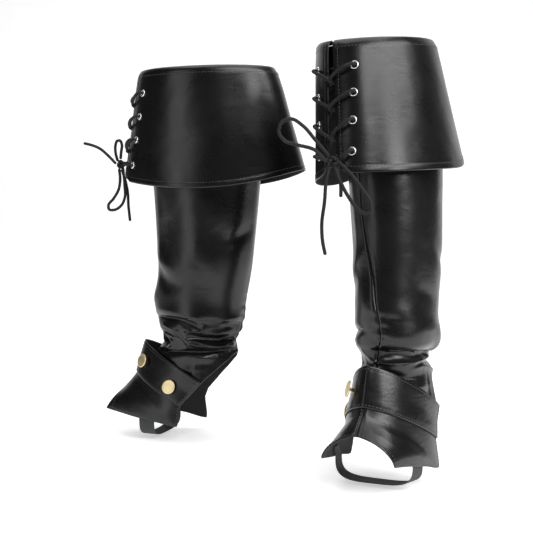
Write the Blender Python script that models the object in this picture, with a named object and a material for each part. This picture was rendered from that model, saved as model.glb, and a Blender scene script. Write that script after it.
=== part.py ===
# A pair of over-boot gaiters in smooth black leathercloth, in the hollow form they have when worn.
# Each has a two-panel leg tube, a turned-down laced cuff, a spat of two halves, a buttoned strap
# over the instep and an elastic band under the sole. Metres, +Z up, origin at the left ankle.
# Tables give heights above the floor; the origin lies ANKLE_HEIGHT above it.

import math
from collections import namedtuple

import bmesh
import bpy
import numpy as np
from mathutils import Vector

ANKLE_HEIGHT = 0.100
CLOTH = 0.0016          # wall of the leathercloth
SEAM_GAP = 0.0003       # between pieces that are sewn or lie on each other
PANEL_STEPS = 12        # columns of faces across one panel of the leg tube
LOWER_ROWS = 7          # rows of faces from the ankle's last level ring to the hem
LAP = 0.35              # how far the tube runs in under the spat, as a fraction of a rib's spacing
LAP_ROOM = 0.0034       # between the spat's wall and the tube's edge under it

RIM_DROP = 0.0053       # the tube ends this far below the cuff's folded rim
CUFF_STEPS_BACK = 15    # columns between the two flaps
CUFF_CORNER = 0.018     # rounding of a flap's lower corner
GAP_TOP = 0.004         # half of the opening at the rim
GAP_BOTTOM = 0.008      # half of the opening at the hem

EYELET_ROWS = (0.215, 0.420, 0.626, 0.853)   # fractions of the cuff's height, from the rim
EYELET_INSET_TOP = 0.029        # from the flap's edge, at the rim
EYELET_INSET_BOTTOM = 0.019     # and at the hem
EYELET_LAND = 0.0065    # half of the flat stretch of cuff that an eyelet is set in
EYELET_OUTER = 0.0050
EYELET_BORE = 0.0028
EYELET_BARREL = 0.0034
EYELET_SIDES = 10
LACE = 0.0040           # diameter of the round lace
LACE_BEVEL = 1
LACE_TURN = 0.0028      # how far past a flap's edge the lace bends

STRAP_WALL = 0.0018
BUTTON_RADIUS = 0.0100
BUTTON_SIDES = 14
BAND_WALL = 0.0012
BAND_LIFT = 0.0030      # clearance under the band

# rim_tilt lifts the rim's front and rim_sway its outer side; lean moves the rim forward and outward;
# opening_deg is where the cuff opens, a little to the inner side of the front; the drops are the
# cuff's height in front, on the outer side, behind and on the inner side
Leg = namedtuple("Leg", "place toe_deg side rim_height rim_tilt rim_sway lean_forward lean_outward "
                        "opening_deg drop_front drop_outer drop_back drop_inner")
LEGS = {
    "left": Leg((0.0, 0.0, 0.0), 240.0, 1, 0.526, -0.016, -0.002, -0.003, 0.002, -15.0,
                0.157, 0.158, 0.137, 0.176),
    "right": Leg((-0.251, 0.212, 0.0), 166.0, -1, 0.525, 0.001, 0.007, 0.005, 0.017, -19.0,
                 0.152, 0.165, 0.143, 0.166),
}

# Level rings of the leg tube, from the rim down: sizes, centre and the seams' turn
Ring = namedtuple("Ring", "height half_depth half_width forward outward twist_deg")
SHAFT_RINGS = (
    Ring(0.540, 0.0910, 0.0590, -0.022, -0.037, -15.0),
    Ring(0.450, 0.0850, 0.0560, -0.0165, -0.0205, -15.0),
    Ring(0.362, 0.0785, 0.0530, -0.011, -0.004, -15.0),
    Ring(0.318, 0.0745, 0.0515, -0.010, -0.002, -15.0),
    Ring(0.284, 0.0722, 0.0505, -0.009, -0.001, -11.0),
    Ring(0.249, 0.0692, 0.0500, -0.007, 0.000, -6.0),
    Ring(0.215, 0.0672, 0.0475, -0.003, 0.001, -2.0),
    Ring(0.189, 0.0655, 0.0465, 0.000, 0.002, 0.0),
    Ring(0.172, 0.0635, 0.0475, 0.000, 0.002, 0.0),
    Ring(0.160, 0.0595, 0.0460, 0.000, 0.001, 0.0),
    Ring(0.150, 0.0555, 0.0405, 0.001, 0.000, 0.0),
    Ring(0.143, 0.0535, 0.0370, 0.000, -0.001, 0.0),
    Ring(0.136, 0.0535, 0.0370, -0.001, -0.001, 0.0),
)
SHAFT_ROWS = (0.500, 0.455, 0.410, 0.365, 0.330, 0.300, 0.272, 0.247, 0.226, 0.209, 0.195, 0.184,
              0.175, 0.167, 0.160, 0.154, 0.148, 0.142, 0.136)

# Ribs over the instep: the ridge point of each, and where it ends on the outer and inner side
Rib = namedtuple("Rib", "ridge_forward ridge_height outer_forward outer_out outer_height "
                        "inner_forward inner_out inner_height")
RIBS = (
    Rib(0.0830, 0.1375, -0.008, 0.0500, 0.0850, -0.0160, 0.0450, 0.0840),
    Rib(0.0900, 0.1160, 0.002, 0.0505, 0.0680, 0.0000, 0.0450, 0.0670),
    Rib(0.0965, 0.0935, 0.010, 0.0535, 0.0500, 0.0140, 0.0480, 0.0500),
    Rib(0.1005, 0.0860, 0.009, 0.0570, 0.0165, 0.0180, 0.0520, 0.0225),
    Rib(0.1055, 0.0800, 0.042, 0.0540, 0.0235, 0.0460, 0.0500, 0.0265),
    Rib(0.1110, 0.0740, 0.076, 0.0480, 0.0300, 0.0860, 0.0440, 0.0325),
    Rib(0.1180, 0.0660, 0.105, 0.0405, 0.0340, 0.1310, 0.0350, 0.0412),
)
STRAP_TOP, STRAP_MIDDLE, STRAP_LOW, HEEL_CORNER, WAIST, TREAD, TOE_EDGE = range(7)
RIB_STEPS = 8           # faces from a rib's end to its ridge
RIB_POINT = 1.35        # above 1 the instep's ridge is sharper than an ellipse

# Hem of the leg tube behind the strap, by angle from the front
HemPoint = namedtuple("HemPoint", "angle_deg forward outer_out inner_out height")
HEM_BACK = (
    HemPoint(95.0, 0.003, 0.0488, 0.0440, 0.0630),
    HemPoint(110.0, -0.015, 0.0465, 0.0425, 0.0830),
    HemPoint(135.0, -0.034, 0.0350, 0.0340, 0.1010),
    HemPoint(158.0, -0.050, 0.0190, 0.0190, 0.1160),
    HemPoint(180.0, -0.0580, 0.0, 0.0, 0.1265),
)
SIDE_ANGLE = 95.0       # where the strap's ribs end on the tube

# Folds of the leg tube: a soft ridge (rise above 0) or trough between two points on it
Fold = namedtuple("Fold", "from_deg from_height to_deg to_height half_width rise")
FOLDS = (
    Fold(-20, 0.1760, -78, 0.1720, 0.0055, -0.0060),
    Fold(-78, 0.1700, -104, 0.1580, 0.0060, -0.0060),
    Fold(-30, 0.1620, -66, 0.1500, 0.0060, 0.0035),
    Fold(-84, 0.1530, -128, 0.1400, 0.0055, 0.0042),
    Fold(-128, 0.1400, -172, 0.1400, 0.0055, 0.0036),
    Fold(-106, 0.1660, -170, 0.1600, 0.0060, -0.0055),
    Fold(-25, 0.1370, -95, 0.1270, 0.0060, -0.0050),
    Fold(-60, 0.1180, -130, 0.1180, 0.0060, 0.0024),
    Fold(0, 0.1490, 70, 0.1500, 0.0065, -0.0055),
    Fold(70, 0.1500, 130, 0.1560, 0.0065, -0.0055),
    Fold(-6, 0.1370, 64, 0.1350, 0.0060, 0.0030),
    Fold(64, 0.1350, 120, 0.1430, 0.0060, 0.0034),
    Fold(6, 0.1260, 80, 0.1200, 0.0060, -0.0040),
    Fold(120, 0.1500, 172, 0.1470, 0.0055, 0.0034),
    Fold(0, 0.1680, 55, 0.1660, 0.0080, 0.0022),
    Fold(-22, 0.2680, -62, 0.2330, 0.0090, 0.0024),
    Fold(-30, 0.2420, -66, 0.2180, 0.0080, -0.0026),
    Fold(-150, 0.3000, -120, 0.2760, 0.0100, -0.0024),
    Fold(-28, 0.3400, -36, 0.2500, 0.0090, -0.0022),
    Fold(100, 0.2700, 150, 0.2350, 0.0100, -0.0022),
)

CuffRing = namedtuple("CuffRing", "half_depth half_width forward outward")
CUFF_TOP = CuffRing(0.1000, 0.0680, -0.022, -0.037)
CUFF_BOTTOM = CuffRing(0.1320, 0.0820, -0.026, -0.016)
CUFF_HEM = 0.360                # height of the cuff's hem on the tube
# The folded rim in section, from inside the tube's top edge over to the cuff's outer face
RimPoint = namedtuple("RimPoint", "out up")
RIM = (RimPoint(-0.0101, -0.0034), RimPoint(-0.0066, 0.0), RimPoint(-0.0030, -0.0006), RimPoint(0.0, -0.0050))

# Buttons: where each sits on the strap's ribs, and how far its disc stands off the strap
Button = namedtuple("Button", "rib angle_deg stand")
BUTTONS = {
    "button_upper": Button(STRAP_MIDDLE, -33.0, 0.0048),
    "button_lower": Button(STRAP_MIDDLE + 0.3, -73.0, 0.0032),
}

# The bows: points in metres from the knot, along X, Y and Z
BOWS = {
    "left": {
        "bow_loop_a": ((-0.006, -0.004, 0.008), (-0.021, -0.010, 0.0240), (-0.034, -0.013, 0.038),
                       (-0.047, -0.015, 0.045), (-0.057, -0.015, 0.041), (-0.060, -0.014, 0.032),
                       (-0.054, -0.013, 0.022), (-0.041, -0.012, 0.0175), (-0.021, -0.010, 0.012),
                       (-0.008, -0.004, -0.0005)),
        "bow_loop_b": ((0.002, -0.006, -0.008), (0.006, -0.014, -0.021), (0.013, -0.018, -0.036),
                       (0.022, -0.023, -0.050), (0.032, -0.027, -0.058), (0.038, -0.029, -0.056),
                       (0.038, -0.029, -0.047), (0.030, -0.026, -0.033), (0.020, -0.020, -0.018),
                       (0.009, -0.007, -0.001)),
        "bow_tail_a": ((-0.006, -0.004, -0.008), (-0.008, -0.007, -0.022), (-0.010, -0.009, -0.045),
                       (-0.013, -0.009, -0.070), (-0.012, -0.008, -0.088), (-0.009, -0.008, -0.103)),
        "bow_tail_b": ((0.0055, 0.0015, -0.006), (0.007, 0.008, -0.011), (0.009, 0.013, -0.018),
                       (0.010, 0.015, -0.026), (0.010, 0.016, -0.038)),
    },
    "right": {
        "bow_loop_a": ((-0.003, -0.003, -0.0075), (-0.001, -0.004, -0.022), (-0.003, -0.006, -0.037),
                       (-0.010, -0.008, -0.050), (-0.0165, -0.010, -0.059), (-0.0155, -0.011, -0.065),
                       (-0.007, -0.011, -0.0655), (0.002, -0.010, -0.059), (0.0065, -0.009, -0.048),
                       (0.006, -0.008, -0.030), (0.0045, -0.006, -0.0075)),
        "bow_loop_b": ((-0.007, 0.003, 0.006), (-0.009, 0.004, 0.018), (-0.009, 0.004, 0.028),
                       (-0.0065, 0.002, 0.0335), (-0.002, 0.000, 0.034), (0.001, -0.001, 0.028),
                       (0.000, -0.001, 0.018), (-0.001, -0.001, 0.0085)),
        "bow_tail_a": ((-0.0085, -0.004, 0.0005), (-0.019, -0.006, 0.013), (-0.030, -0.007, 0.022),
                       (-0.041, -0.008, 0.0265), (-0.052, -0.009, 0.029)),
        "bow_tail_b": ((0.000, 0.004, -0.0075), (0.004, 0.006, -0.020), (0.008, 0.006, -0.038),
                       (0.0095, 0.005, -0.060), (0.012, 0.004, -0.081)),
    },
}
KNOT_SIZE = (0.0070, 0.0062, 0.0066)    # half sizes
KNOT_ROOM = 0.0009                      # from the knot to the cords' ends
KNOT_STAND = 0.0085                     # from the cuff's face to the knot's centre
KNOT_PLACES = {"left": (0.935, 0.012), "right": (0.865, 0.0)}     # row of the cuff, shift outward


def smooth(places, values, wanted):
    """A smooth curve through a table's values, by cubic pieces with slopes from the neighbours."""
    places = np.asarray(places, float)
    values = np.asarray(values, float)
    if places[0] > places[-1]:
        places = places[::-1]
        values = values[::-1]
    slopes = np.gradient(values, places)
    wanted = np.clip(np.asarray(wanted, float), places[0], places[-1])
    after = np.clip(np.searchsorted(places, wanted), 1, len(places) - 1)
    before = after - 1
    step = places[after] - places[before]
    t = (wanted - places[before]) / step
    start, end = values[before], values[after]
    start_slope, end_slope = slopes[before] * step, slopes[after] * step
    return ((2 * t ** 3 - 3 * t ** 2 + 1) * start + (t ** 3 - 2 * t ** 2 + t) * start_slope
            + (3 * t ** 2 - 2 * t ** 3) * end + (t ** 3 - t ** 2) * end_slope)


def ease(t):
    t = np.clip(t, 0.0, 1.0)
    return t * t * (3 - 2 * t)


def grid_normals(points, around):
    """Unit normals of a grid of points (rows, columns, 3), facing away from the rows' centres."""
    down = np.gradient(points, axis=0)
    if around:
        across = (np.roll(points, -1, axis=1) - np.roll(points, 1, axis=1)) / 2
    else:
        across = np.gradient(points, axis=1)
    normals = np.cross(across, down)
    normals /= np.maximum(np.linalg.norm(normals, axis=2, keepdims=True), 1e-12)
    return normals


def leg_empty(name, leg):
    """The frame of one leg: X forward to the toe, Y outward (mirrored on the right), Z up."""
    empty = bpy.data.objects.new(name + "_leg", None)
    empty.location = leg.place
    empty.rotation_euler = (0.0, 0.0, math.radians(leg.toe_deg))
    bpy.context.scene.collection.objects.link(empty)
    return empty


def add_mesh(name, points, faces, material, parent):
    mesh = bpy.data.meshes.new(name)
    mesh.from_pydata([tuple(p) for p in points], [], faces)
    work = bmesh.new()
    work.from_mesh(mesh)
    bmesh.ops.remove_doubles(work, verts=work.verts, dist=1e-6)
    bmesh.ops.triangulate(work, faces=work.faces)
    bmesh.ops.recalc_face_normals(work, faces=work.faces)
    work.to_mesh(mesh)
    work.free()
    mesh.shade_smooth()
    mesh.set_sharp_from_angle(angle=math.radians(40))
    mesh.materials.append(material)
    obj = bpy.data.objects.new(name, mesh)
    bpy.context.scene.collection.objects.link(obj)
    obj.parent = parent
    return obj


def wall_faces(rows, columns):
    """Faces of a closed wall: an outer grid, an inner grid and the four edges between them."""
    inner = rows * columns
    faces = []
    for r in range(rows - 1):
        for c in range(columns - 1):
            a = r * columns + c
            b = a + columns
            faces.append((a, a + 1, b + 1, b))
            faces.append((inner + a, inner + b, inner + b + 1, inner + a + 1))
    for r in range(rows - 1):
        a = r * columns
        b = a + columns
        faces.append((a, b, inner + b, inner + a))
        a += columns - 1
        b += columns - 1
        faces.append((a, inner + a, inner + b, b))
    last = (rows - 1) * columns
    for c in range(columns - 1):
        faces.append((c, inner + c, inner + c + 1, c + 1))
        faces.append((last + c, last + c + 1, inner + last + c + 1, inner + last + c))
    return faces


def add_wall(name, outer, inner, leg, material, parent):
    """A wall between two grids given in the leg's frame, with Y outward."""
    flip = np.array([1.0, leg.side, 1.0])
    points = np.concatenate([outer.reshape(-1, 3), inner.reshape(-1, 3)]) * flip
    points[:, 2] -= ANKLE_HEIGHT
    return add_mesh(name, points, wall_faces(*outer.shape[:2]), material, parent)


def rim_height(leg, angle):
    return leg.rim_height + leg.rim_tilt * np.cos(angle) + leg.rim_sway * np.sin(angle)


def lean_of(leg, share):
    """How far the leg's lean has moved a ring, with its share of the rim's lean."""
    return leg.lean_forward * share, leg.lean_outward * share


def shaft_ring(leg, height, angles, level):
    """Points of one ring of the tube. Near the rim a level ring tilts with the cuff."""
    heights = [ring.height for ring in SHAFT_RINGS]
    sizes = [float(smooth(heights, [getattr(ring, column) for ring in SHAFT_RINGS], height))
             for column in ("half_depth", "half_width", "forward", "outward", "twist_deg")]
    half_depth, half_width, forward, outward, twist_deg = sizes
    lean_forward, lean_outward = lean_of(leg, ease((height - CUFF_HEM) / (leg.rim_height - CUFF_HEM)))
    turned = angles + math.radians(twist_deg)
    return np.stack([forward + lean_forward + half_depth * np.cos(turned),
                     outward + lean_outward + half_width * np.sin(turned),
                     level + np.zeros_like(angles)], axis=-1)


def hem_points(angles):
    """The tube's lower edge: lapped under the spat in front, then up to the back of the ankle."""
    table = {column: [getattr(point, column) for point in HEM_BACK] for column in HemPoint._fields}
    rib_angles = np.linspace(-90.0, 90.0, 37)
    lapped = spread(rib_grid((STRAP_MIDDLE + LAP - 0.1, STRAP_MIDDLE + LAP, STRAP_MIDDLE + LAP + 0.1),
                             rib_angles), -CLOTH - LAP_ROOM)[1]
    points = []
    for angle in angles:
        degrees = math.degrees(angle)
        if abs(degrees) < SIDE_ANGLE:
            rib_angle = degrees / SIDE_ANGLE * 90.0
            points.append([float(np.interp(rib_angle, rib_angles, lapped[:, axis])) for axis in range(3)])
            continue
        side = "outer_out" if degrees > 0 else "inner_out"
        forward, out, height = (float(np.interp(abs(degrees), table["angle_deg"], table[column]))
                                for column in ("forward", side, "height"))
        points.append((forward, math.copysign(out, degrees), height))
    return np.array(points)


def fold_rise(points, angles, strength):
    """How far the folds lift or sink each point of the tube."""
    radius = 0.055
    along = angles[None, :] * radius
    rise = np.zeros(points.shape[:2])
    for fold in FOLDS:
        for turn in (-2 * math.pi, 0.0, 2 * math.pi):
            start = np.array([(math.radians(fold.from_deg) + turn) * radius, fold.from_height])
            end = np.array([(math.radians(fold.to_deg) + turn) * radius, fold.to_height])
            run = end - start
            length = float(np.hypot(*run))
            dx = along - start[0]
            dz = points[..., 2] - start[1]
            t = np.clip((dx * run[0] + dz * run[1]) / length ** 2, 0.0, 1.0)
            distance = np.hypot(dx - t * run[0], dz - t * run[1])
            taper = 0.35 + 0.65 * np.sin(np.pi * t)
            rise += fold.rise * taper * np.exp(-(distance / fold.half_width) ** 2)
    return rise * strength


def shaft_grids(leg):
    """Outer and inner grids of the whole tube, columns going round from the front seam."""
    angles = np.linspace(0.0, 2 * math.pi, 2 * PANEL_STEPS, endpoint=False)
    signed = (angles + math.pi) % (2 * math.pi) - math.pi
    top = SHAFT_ROWS[0]
    rim = rim_height(leg, angles + math.radians(SHAFT_RINGS[0].twist_deg)) - RIM_DROP
    rows = [shaft_ring(leg, leg.rim_height, angles, rim)]
    for height in SHAFT_ROWS:
        tilt = 0.8 * ease((height - CUFF_HEM) / (top - CUFF_HEM))
        rows.append(shaft_ring(leg, height, angles, height + (rim - leg.rim_height) * tilt))
    ankle = rows[-1]
    hem = hem_points(signed)
    for step in range(1, LOWER_ROWS + 1):
        rows.append(ankle + (hem - ankle) * step / LOWER_ROWS)
    base = np.array(rows)
    near_hem = np.ones(len(base))
    near_hem[-LOWER_ROWS:] = [ease((LOWER_ROWS - step) / 4.0) for step in range(1, LOWER_ROWS + 1)]
    strength = near_hem[:, None]
    normals = grid_normals(base, True)
    outer = base + normals * fold_rise(base, signed, strength)[..., None]
    inner = outer - grid_normals(outer, True) * CLOTH
    return outer, inner


def make_shaft(prefix, leg, material, parent):
    outer, inner = shaft_grids(leg)
    half = PANEL_STEPS
    ends = {"lateral": (0, half), "medial": (half, 2 * half)}
    for panel, (first, last) in ends.items():
        columns = [c % (2 * half) for c in range(first, last + 1)]
        grids = []
        for grid in (outer, inner):
            part = grid[:, columns].copy()
            start_run = part[:, 1] - part[:, 0]
            end_run = part[:, -1] - part[:, -2]
            part[:, 0] += start_run / np.linalg.norm(start_run, axis=1, keepdims=True) * SEAM_GAP / 2
            part[:, -1] -= end_run / np.linalg.norm(end_run, axis=1, keepdims=True) * SEAM_GAP / 2
            grids.append(part)
        add_wall(f"{prefix}_shaft_{panel}", *grids, leg, material, parent)


def cuff_base(leg, angle, row):
    """A point of the cuff's outer face. row is 0 at the rim and 1 at the hem."""
    values = [top + (bottom - top) * row for top, bottom in zip(CUFF_TOP, CUFF_BOTTOM)]
    half_depth, half_width, forward, outward = values
    lean_forward, lean_outward = lean_of(leg, 1.0 - 0.7 * row)
    ahead, aside = math.cos(angle), math.sin(angle)
    drop = (ahead ** 2 * (leg.drop_front if ahead > 0 else leg.drop_back)
            + aside ** 2 * (leg.drop_outer if aside > 0 else leg.drop_inner))
    height = float(rim_height(leg, angle)) - drop * row
    return np.array([forward + lean_forward + half_depth * ahead,
                     outward + lean_outward + half_width * aside, height])


def cuff_frame(leg, angle, row):
    """The point with its outward normal and its unit direction round the cuff."""
    step = 1e-3
    here = cuff_base(leg, angle, row)
    around = cuff_base(leg, angle + step, row) - cuff_base(leg, angle - step, row)
    down = cuff_base(leg, angle, row + step) - cuff_base(leg, angle, row - step)
    normal = np.cross(around, down)
    normal /= -np.linalg.norm(normal)
    if normal[0] * math.cos(angle) + normal[1] * math.sin(angle) < 0:
        normal = -normal
    return here, normal, around / np.linalg.norm(around), np.linalg.norm(around) / (2 * step)


def flap_angle(leg, side, row, distance):
    """The angle at a distance from a flap's edge, walking round the cuff from the opening."""
    opening = math.radians(leg.opening_deg)
    walk = GAP_TOP + (GAP_BOTTOM - GAP_TOP) * min(max(row, 0.0), 1.0) + distance
    angle = opening
    steps = 12
    for _ in range(steps):
        speed = cuff_frame(leg, angle, row)[3]
        angle += side * walk / steps / speed
    return angle


def cuff_point(leg, side, row, distance, out):
    """A point at a distance from a flap's edge, moved out from the cuff's face."""
    here, normal, _, _ = cuff_frame(leg, flap_angle(leg, side, row, distance), row)
    return here + normal * out


def eyelet_inset(row):
    return EYELET_INSET_TOP + (EYELET_INSET_BOTTOM - EYELET_INSET_TOP) * row


def flap_columns(row):
    """Distances of a flap's columns from its edge: two of them bound the eyelets' land."""
    inset = eyelet_inset(row)
    return (0.0, 0.006, inset - EYELET_LAND, inset + EYELET_LAND, inset + 0.024)


def cuff_rows(leg):
    """The cuff's rows as fractions of its height, with two bounding each eyelet's land."""
    half = EYELET_LAND / leg.drop_front
    rows = [0.0]
    for row in EYELET_ROWS:
        rows += [row - half, row + half]
    return rows + [1.0]


def cuff_angles(leg, row):
    outer_flap = [flap_angle(leg, 1, row, distance) for distance in flap_columns(row)]
    inner_flap = [flap_angle(leg, -1, row, distance) + 2 * math.pi for distance in flap_columns(row)]
    between = np.linspace(outer_flap[-1], inner_flap[-1], CUFF_STEPS_BACK + 1)[1:-1]
    return outer_flap + list(between) + inner_flap[::-1]


def cuff_grids(leg):
    """Outer and inner grids of the cuff, columns from the outer flap's edge round to the inner's."""
    outer = []
    for rim in RIM:
        row_points = []
        for angle in cuff_angles(leg, 0.0):
            here, normal, _, _ = cuff_frame(leg, angle, 0.0)
            level = np.array([normal[0], normal[1], 0.0]) / math.hypot(normal[0], normal[1])
            row_points.append(here + level * rim.out + np.array([0.0, 0.0, rim.up]))
        outer.append(row_points)
    for row in cuff_rows(leg)[1:]:
        angles = cuff_angles(leg, row)
        distances = flap_columns(row)
        row_points = []
        for column, angle in enumerate(angles):
            edge = min(column, len(angles) - 1 - column)
            short = 0.0
            if row == 1.0 and edge < len(distances) and distances[edge] < CUFF_CORNER:
                over = CUFF_CORNER - distances[edge]
                short = CUFF_CORNER - math.sqrt(CUFF_CORNER ** 2 - over ** 2)
            row_points.append(cuff_base(leg, angle, row - short / leg.drop_front))
        outer.append(row_points)
    outer = np.array(outer)
    normals = grid_normals(outer, False)
    if np.sum(normals[-1] * (outer[-1] - outer.mean(axis=(0, 1)))) < 0:
        normals = -normals
    inner = outer - normals * CLOTH
    return outer, inner


def eyelet_seat(leg, side, number):
    """Centre and outward normal of the land that an eyelet is set in, from the cuff's own grid."""
    outer, _ = cuff_grids(leg)
    row = len(RIM) + 2 * number
    column = 2 if side == 1 else outer.shape[1] - 4
    corners = outer[row:row + 2, column:column + 2]
    centre = corners.mean(axis=(0, 1))
    normal = np.cross(corners[1, 1] - corners[0, 0], corners[1, 0] - corners[0, 1])
    normal /= np.linalg.norm(normal)
    here, outward, _, _ = cuff_frame(leg, flap_angle(leg, side, EYELET_ROWS[number],
                                                     eyelet_inset(EYELET_ROWS[number])),
                                     EYELET_ROWS[number])
    return centre, normal if np.dot(normal, outward) > 0 else -normal


def make_cuff(prefix, leg, material, parent):
    outer, inner = cuff_grids(leg)
    cuff = add_wall(f"{prefix}_cuff", outer, inner, leg, material, parent)
    cutter_faces = bmesh.new()
    flip = np.array([1.0, leg.side, 1.0])
    for side in (1, -1):
        for number in range(len(EYELET_ROWS)):
            centre, normal = eyelet_seat(leg, side, number)
            centre = centre * flip - np.array([0.0, 0.0, ANKLE_HEIGHT])
            turn = Vector(normal * flip).to_track_quat("Z", "Y").to_matrix().to_4x4()
            turn.translation = Vector(centre)
            bmesh.ops.create_cone(cutter_faces, cap_ends=True, segments=8, depth=0.012,
                                  radius1=EYELET_BARREL + SEAM_GAP + 0.0002,
                                  radius2=EYELET_BARREL + SEAM_GAP + 0.0002, matrix=turn)
    mesh = bpy.data.meshes.new(f"{prefix}_eyelet_holes")
    cutter_faces.to_mesh(mesh)
    cutter_faces.free()
    cutter = bpy.data.objects.new(f"{prefix}_eyelet_holes", mesh)
    bpy.context.scene.collection.objects.link(cutter)
    cutter.parent = parent
    cutter.hide_render = True
    cutter.display_type = "WIRE"
    cut = cuff.modifiers.new("eyelet_holes", "BOOLEAN")
    cut.operation = "DIFFERENCE"
    cut.solver = "EXACT"
    cut.object = cutter


def turned(name, profile, sides, centre, normal, leg, material, parent):
    """A closed ring or disc: profile points (radius, height) spun about the normal."""
    flip = np.array([1.0, leg.side, 1.0])
    axis = Vector(normal * flip).normalized()
    origin = Vector(centre * flip) - Vector((0.0, 0.0, ANKLE_HEIGHT))
    across = axis.orthogonal().normalized()
    along = axis.cross(across)
    points, faces = [], []
    count = len(profile)
    for s in range(sides):
        turn = 2 * math.pi * s / sides
        direction = across * math.cos(turn) + along * math.sin(turn)
        points += [origin + direction * radius + axis * height for radius, height in profile]
    for s in range(sides):
        near, far = s * count, (s + 1) % sides * count
        for p in range(count):
            q = (p + 1) % count
            faces.append((near + p, near + q, far + q, far + p))
    return add_mesh(name, points, faces, material, parent)


def make_eyelets(prefix, leg, material, parent):
    under = -CLOTH - SEAM_GAP
    profile = ((EYELET_BORE, -0.0024), (EYELET_BORE, 0.0014), (EYELET_OUTER, 0.0010),
               (EYELET_OUTER, SEAM_GAP), (EYELET_BARREL, SEAM_GAP), (EYELET_BARREL, under))
    for panel, side in (("lateral", 1), ("medial", -1)):
        for number in range(len(EYELET_ROWS)):
            centre, normal = eyelet_seat(leg, side, number)
            turned(f"{prefix}_eyelet_{panel}_{number + 1}", profile, EYELET_SIDES, centre, normal, leg,
                   material, parent)


def rib_point(rib, angle_deg, ribs=RIBS):
    """A point of a rib, which may lie between two; 0 is the ridge, 90 the outer end, -90 the inner."""
    rib = min(max(rib, 0.0), len(ribs) - 1.0)
    low = min(int(rib), len(ribs) - 2)
    values = [smooth(range(len(ribs)), [getattr(entry, column) for entry in ribs], rib)
              for column in Rib._fields]
    if rib in (low, low + 1):
        values = list(ribs[int(rib)])
    ridge_forward, ridge_height, *sides = values
    forward, out, height = sides[:3] if angle_deg >= 0 else sides[3:]
    lean = math.cos(math.radians(angle_deg))
    width = math.copysign(abs(math.sin(math.radians(angle_deg))) ** RIB_POINT, angle_deg)
    return (float(forward + (ridge_forward - forward) * lean), float(out * width),
            float(height + (ridge_height - height) * lean))


def rib_grid(ribs, angles):
    return np.array([[rib_point(rib, angle) for angle in angles] for rib in ribs])


def spread(grid, distance):
    """The grid moved out from the foot by a distance."""
    normals = grid_normals(grid, False)
    outward = grid - np.array([0.04, 0.0, 0.03])
    facing = np.sum(normals * outward, axis=2, keepdims=True)
    return grid + normals * np.where(facing < 0, -1.0, 1.0) * distance


def make_spat(prefix, leg, material, parent):
    rows = (STRAP_MIDDLE + 0.05, 1.5, STRAP_LOW, 2.5, HEEL_CORNER, 3.5, WAIST, 4.5, TREAD, 5.5, TOE_EDGE)
    angles = np.linspace(-90.0, 90.0, 2 * RIB_STEPS + 1)
    outer = rib_grid(rows, angles)
    inner = spread(outer, -CLOTH)
    for panel, columns in (("medial", slice(0, RIB_STEPS + 1)), ("lateral", slice(RIB_STEPS, None))):
        edge = -1 if panel == "medial" else 0
        grids = []
        for grid in (outer, inner):
            part = grid[:, columns].copy()
            part[:, edge, 1] += SEAM_GAP / 2 * (-1 if panel == "medial" else 1)
            grids.append(part)
        add_wall(f"{prefix}_spat_{panel}", *grids, leg, material, parent)


def strap_surface(rows, angles, out):
    return spread(rib_grid(rows, angles), out)


def make_strap(prefix, leg, material, parent):
    rows = np.linspace(STRAP_TOP, STRAP_LOW, 5)
    angles = np.linspace(-90.0, 90.0, 2 * RIB_STEPS + 1)
    outer = strap_surface(rows, angles, SEAM_GAP + STRAP_WALL)
    inner = strap_surface(rows, angles, SEAM_GAP)
    return add_wall(f"{prefix}_strap", outer, inner, leg, material, parent)


def make_buttons(prefix, leg, material, parent):
    for name, button in BUTTONS.items():
        rib, angle, back = button
        profile = ((0.0, SEAM_GAP), (0.0020, SEAM_GAP), (0.0020, back), (0.0085, back),
                   (BUTTON_RADIUS, back + 0.0008), (BUTTON_RADIUS, back + 0.0020),
                   (0.0086, back + 0.0028), (0.0078, back + 0.0022), (0.0, back + 0.0030))
        patch = strap_surface((rib - 0.1, rib, rib + 0.1), (angle - 2, angle, angle + 2),
                              SEAM_GAP + STRAP_WALL)
        normal = grid_normals(patch, False)[1, 1]
        centre = patch[1, 1]
        if np.dot(normal, centre - np.array([0.04, 0.0, 0.03])) < 0:
            normal = -normal
        turned(f"{prefix}_{name}", profile, BUTTON_SIDES, centre, normal, leg, material, parent)


def make_foot_band(prefix, leg, material, parent):
    """The elastic: sewn inside the spat's lower edges and passing under the sole."""
    first, last = WAIST + 0.15, WAIST + 0.75
    columns = np.linspace(first, last, 3)
    tab_angles = (72.0, 80.0, 88.0)
    low = BAND_LIFT + BAND_WALL
    rows = []
    tab = spread(rib_grid(columns, (-92,) + tuple(-a for a in reversed(tab_angles)) + (-60.0,)),
                 -CLOTH - SEAM_GAP)
    inner_tab = [tab[:, c] for c in (3, 2, 1)]
    tab = spread(rib_grid(columns, (60.0,) + tab_angles + (92.0,)), -CLOTH - SEAM_GAP)
    outer_tab = [tab[:, c] for c in (3, 2, 1)]
    rows += inner_tab
    start, end = inner_tab[-1], outer_tab[0]
    steps = 14
    for step in range(1, steps):
        turn = math.pi * step / steps
        side = start if step <= steps / 2 else end
        wide = abs(math.cos(turn)) ** 0.55
        deep = math.sin(turn) ** 0.55
        middle_forward = (start[:, 0] + end[:, 0]) / 2
        point = side.copy()
        point[:, 1] = side[:, 1] * wide
        point[:, 2] = side[:, 2] - (side[:, 2] - low) * deep
        point[:, 0] = middle_forward + (side[:, 0] - middle_forward) * wide
        rows.append(point)
    rows += outer_tab
    outer = np.array(rows)
    normals = grid_normals(outer, False)
    middle = np.array([0.06, 0.0, 0.05])
    facing = np.sum(normals * (outer - middle), axis=2, keepdims=True)
    inner = outer - normals * np.where(facing < 0, -1.0, 1.0) * BAND_WALL
    return add_wall(f"{prefix}_foot_band", outer, inner, leg, material, parent)


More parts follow.
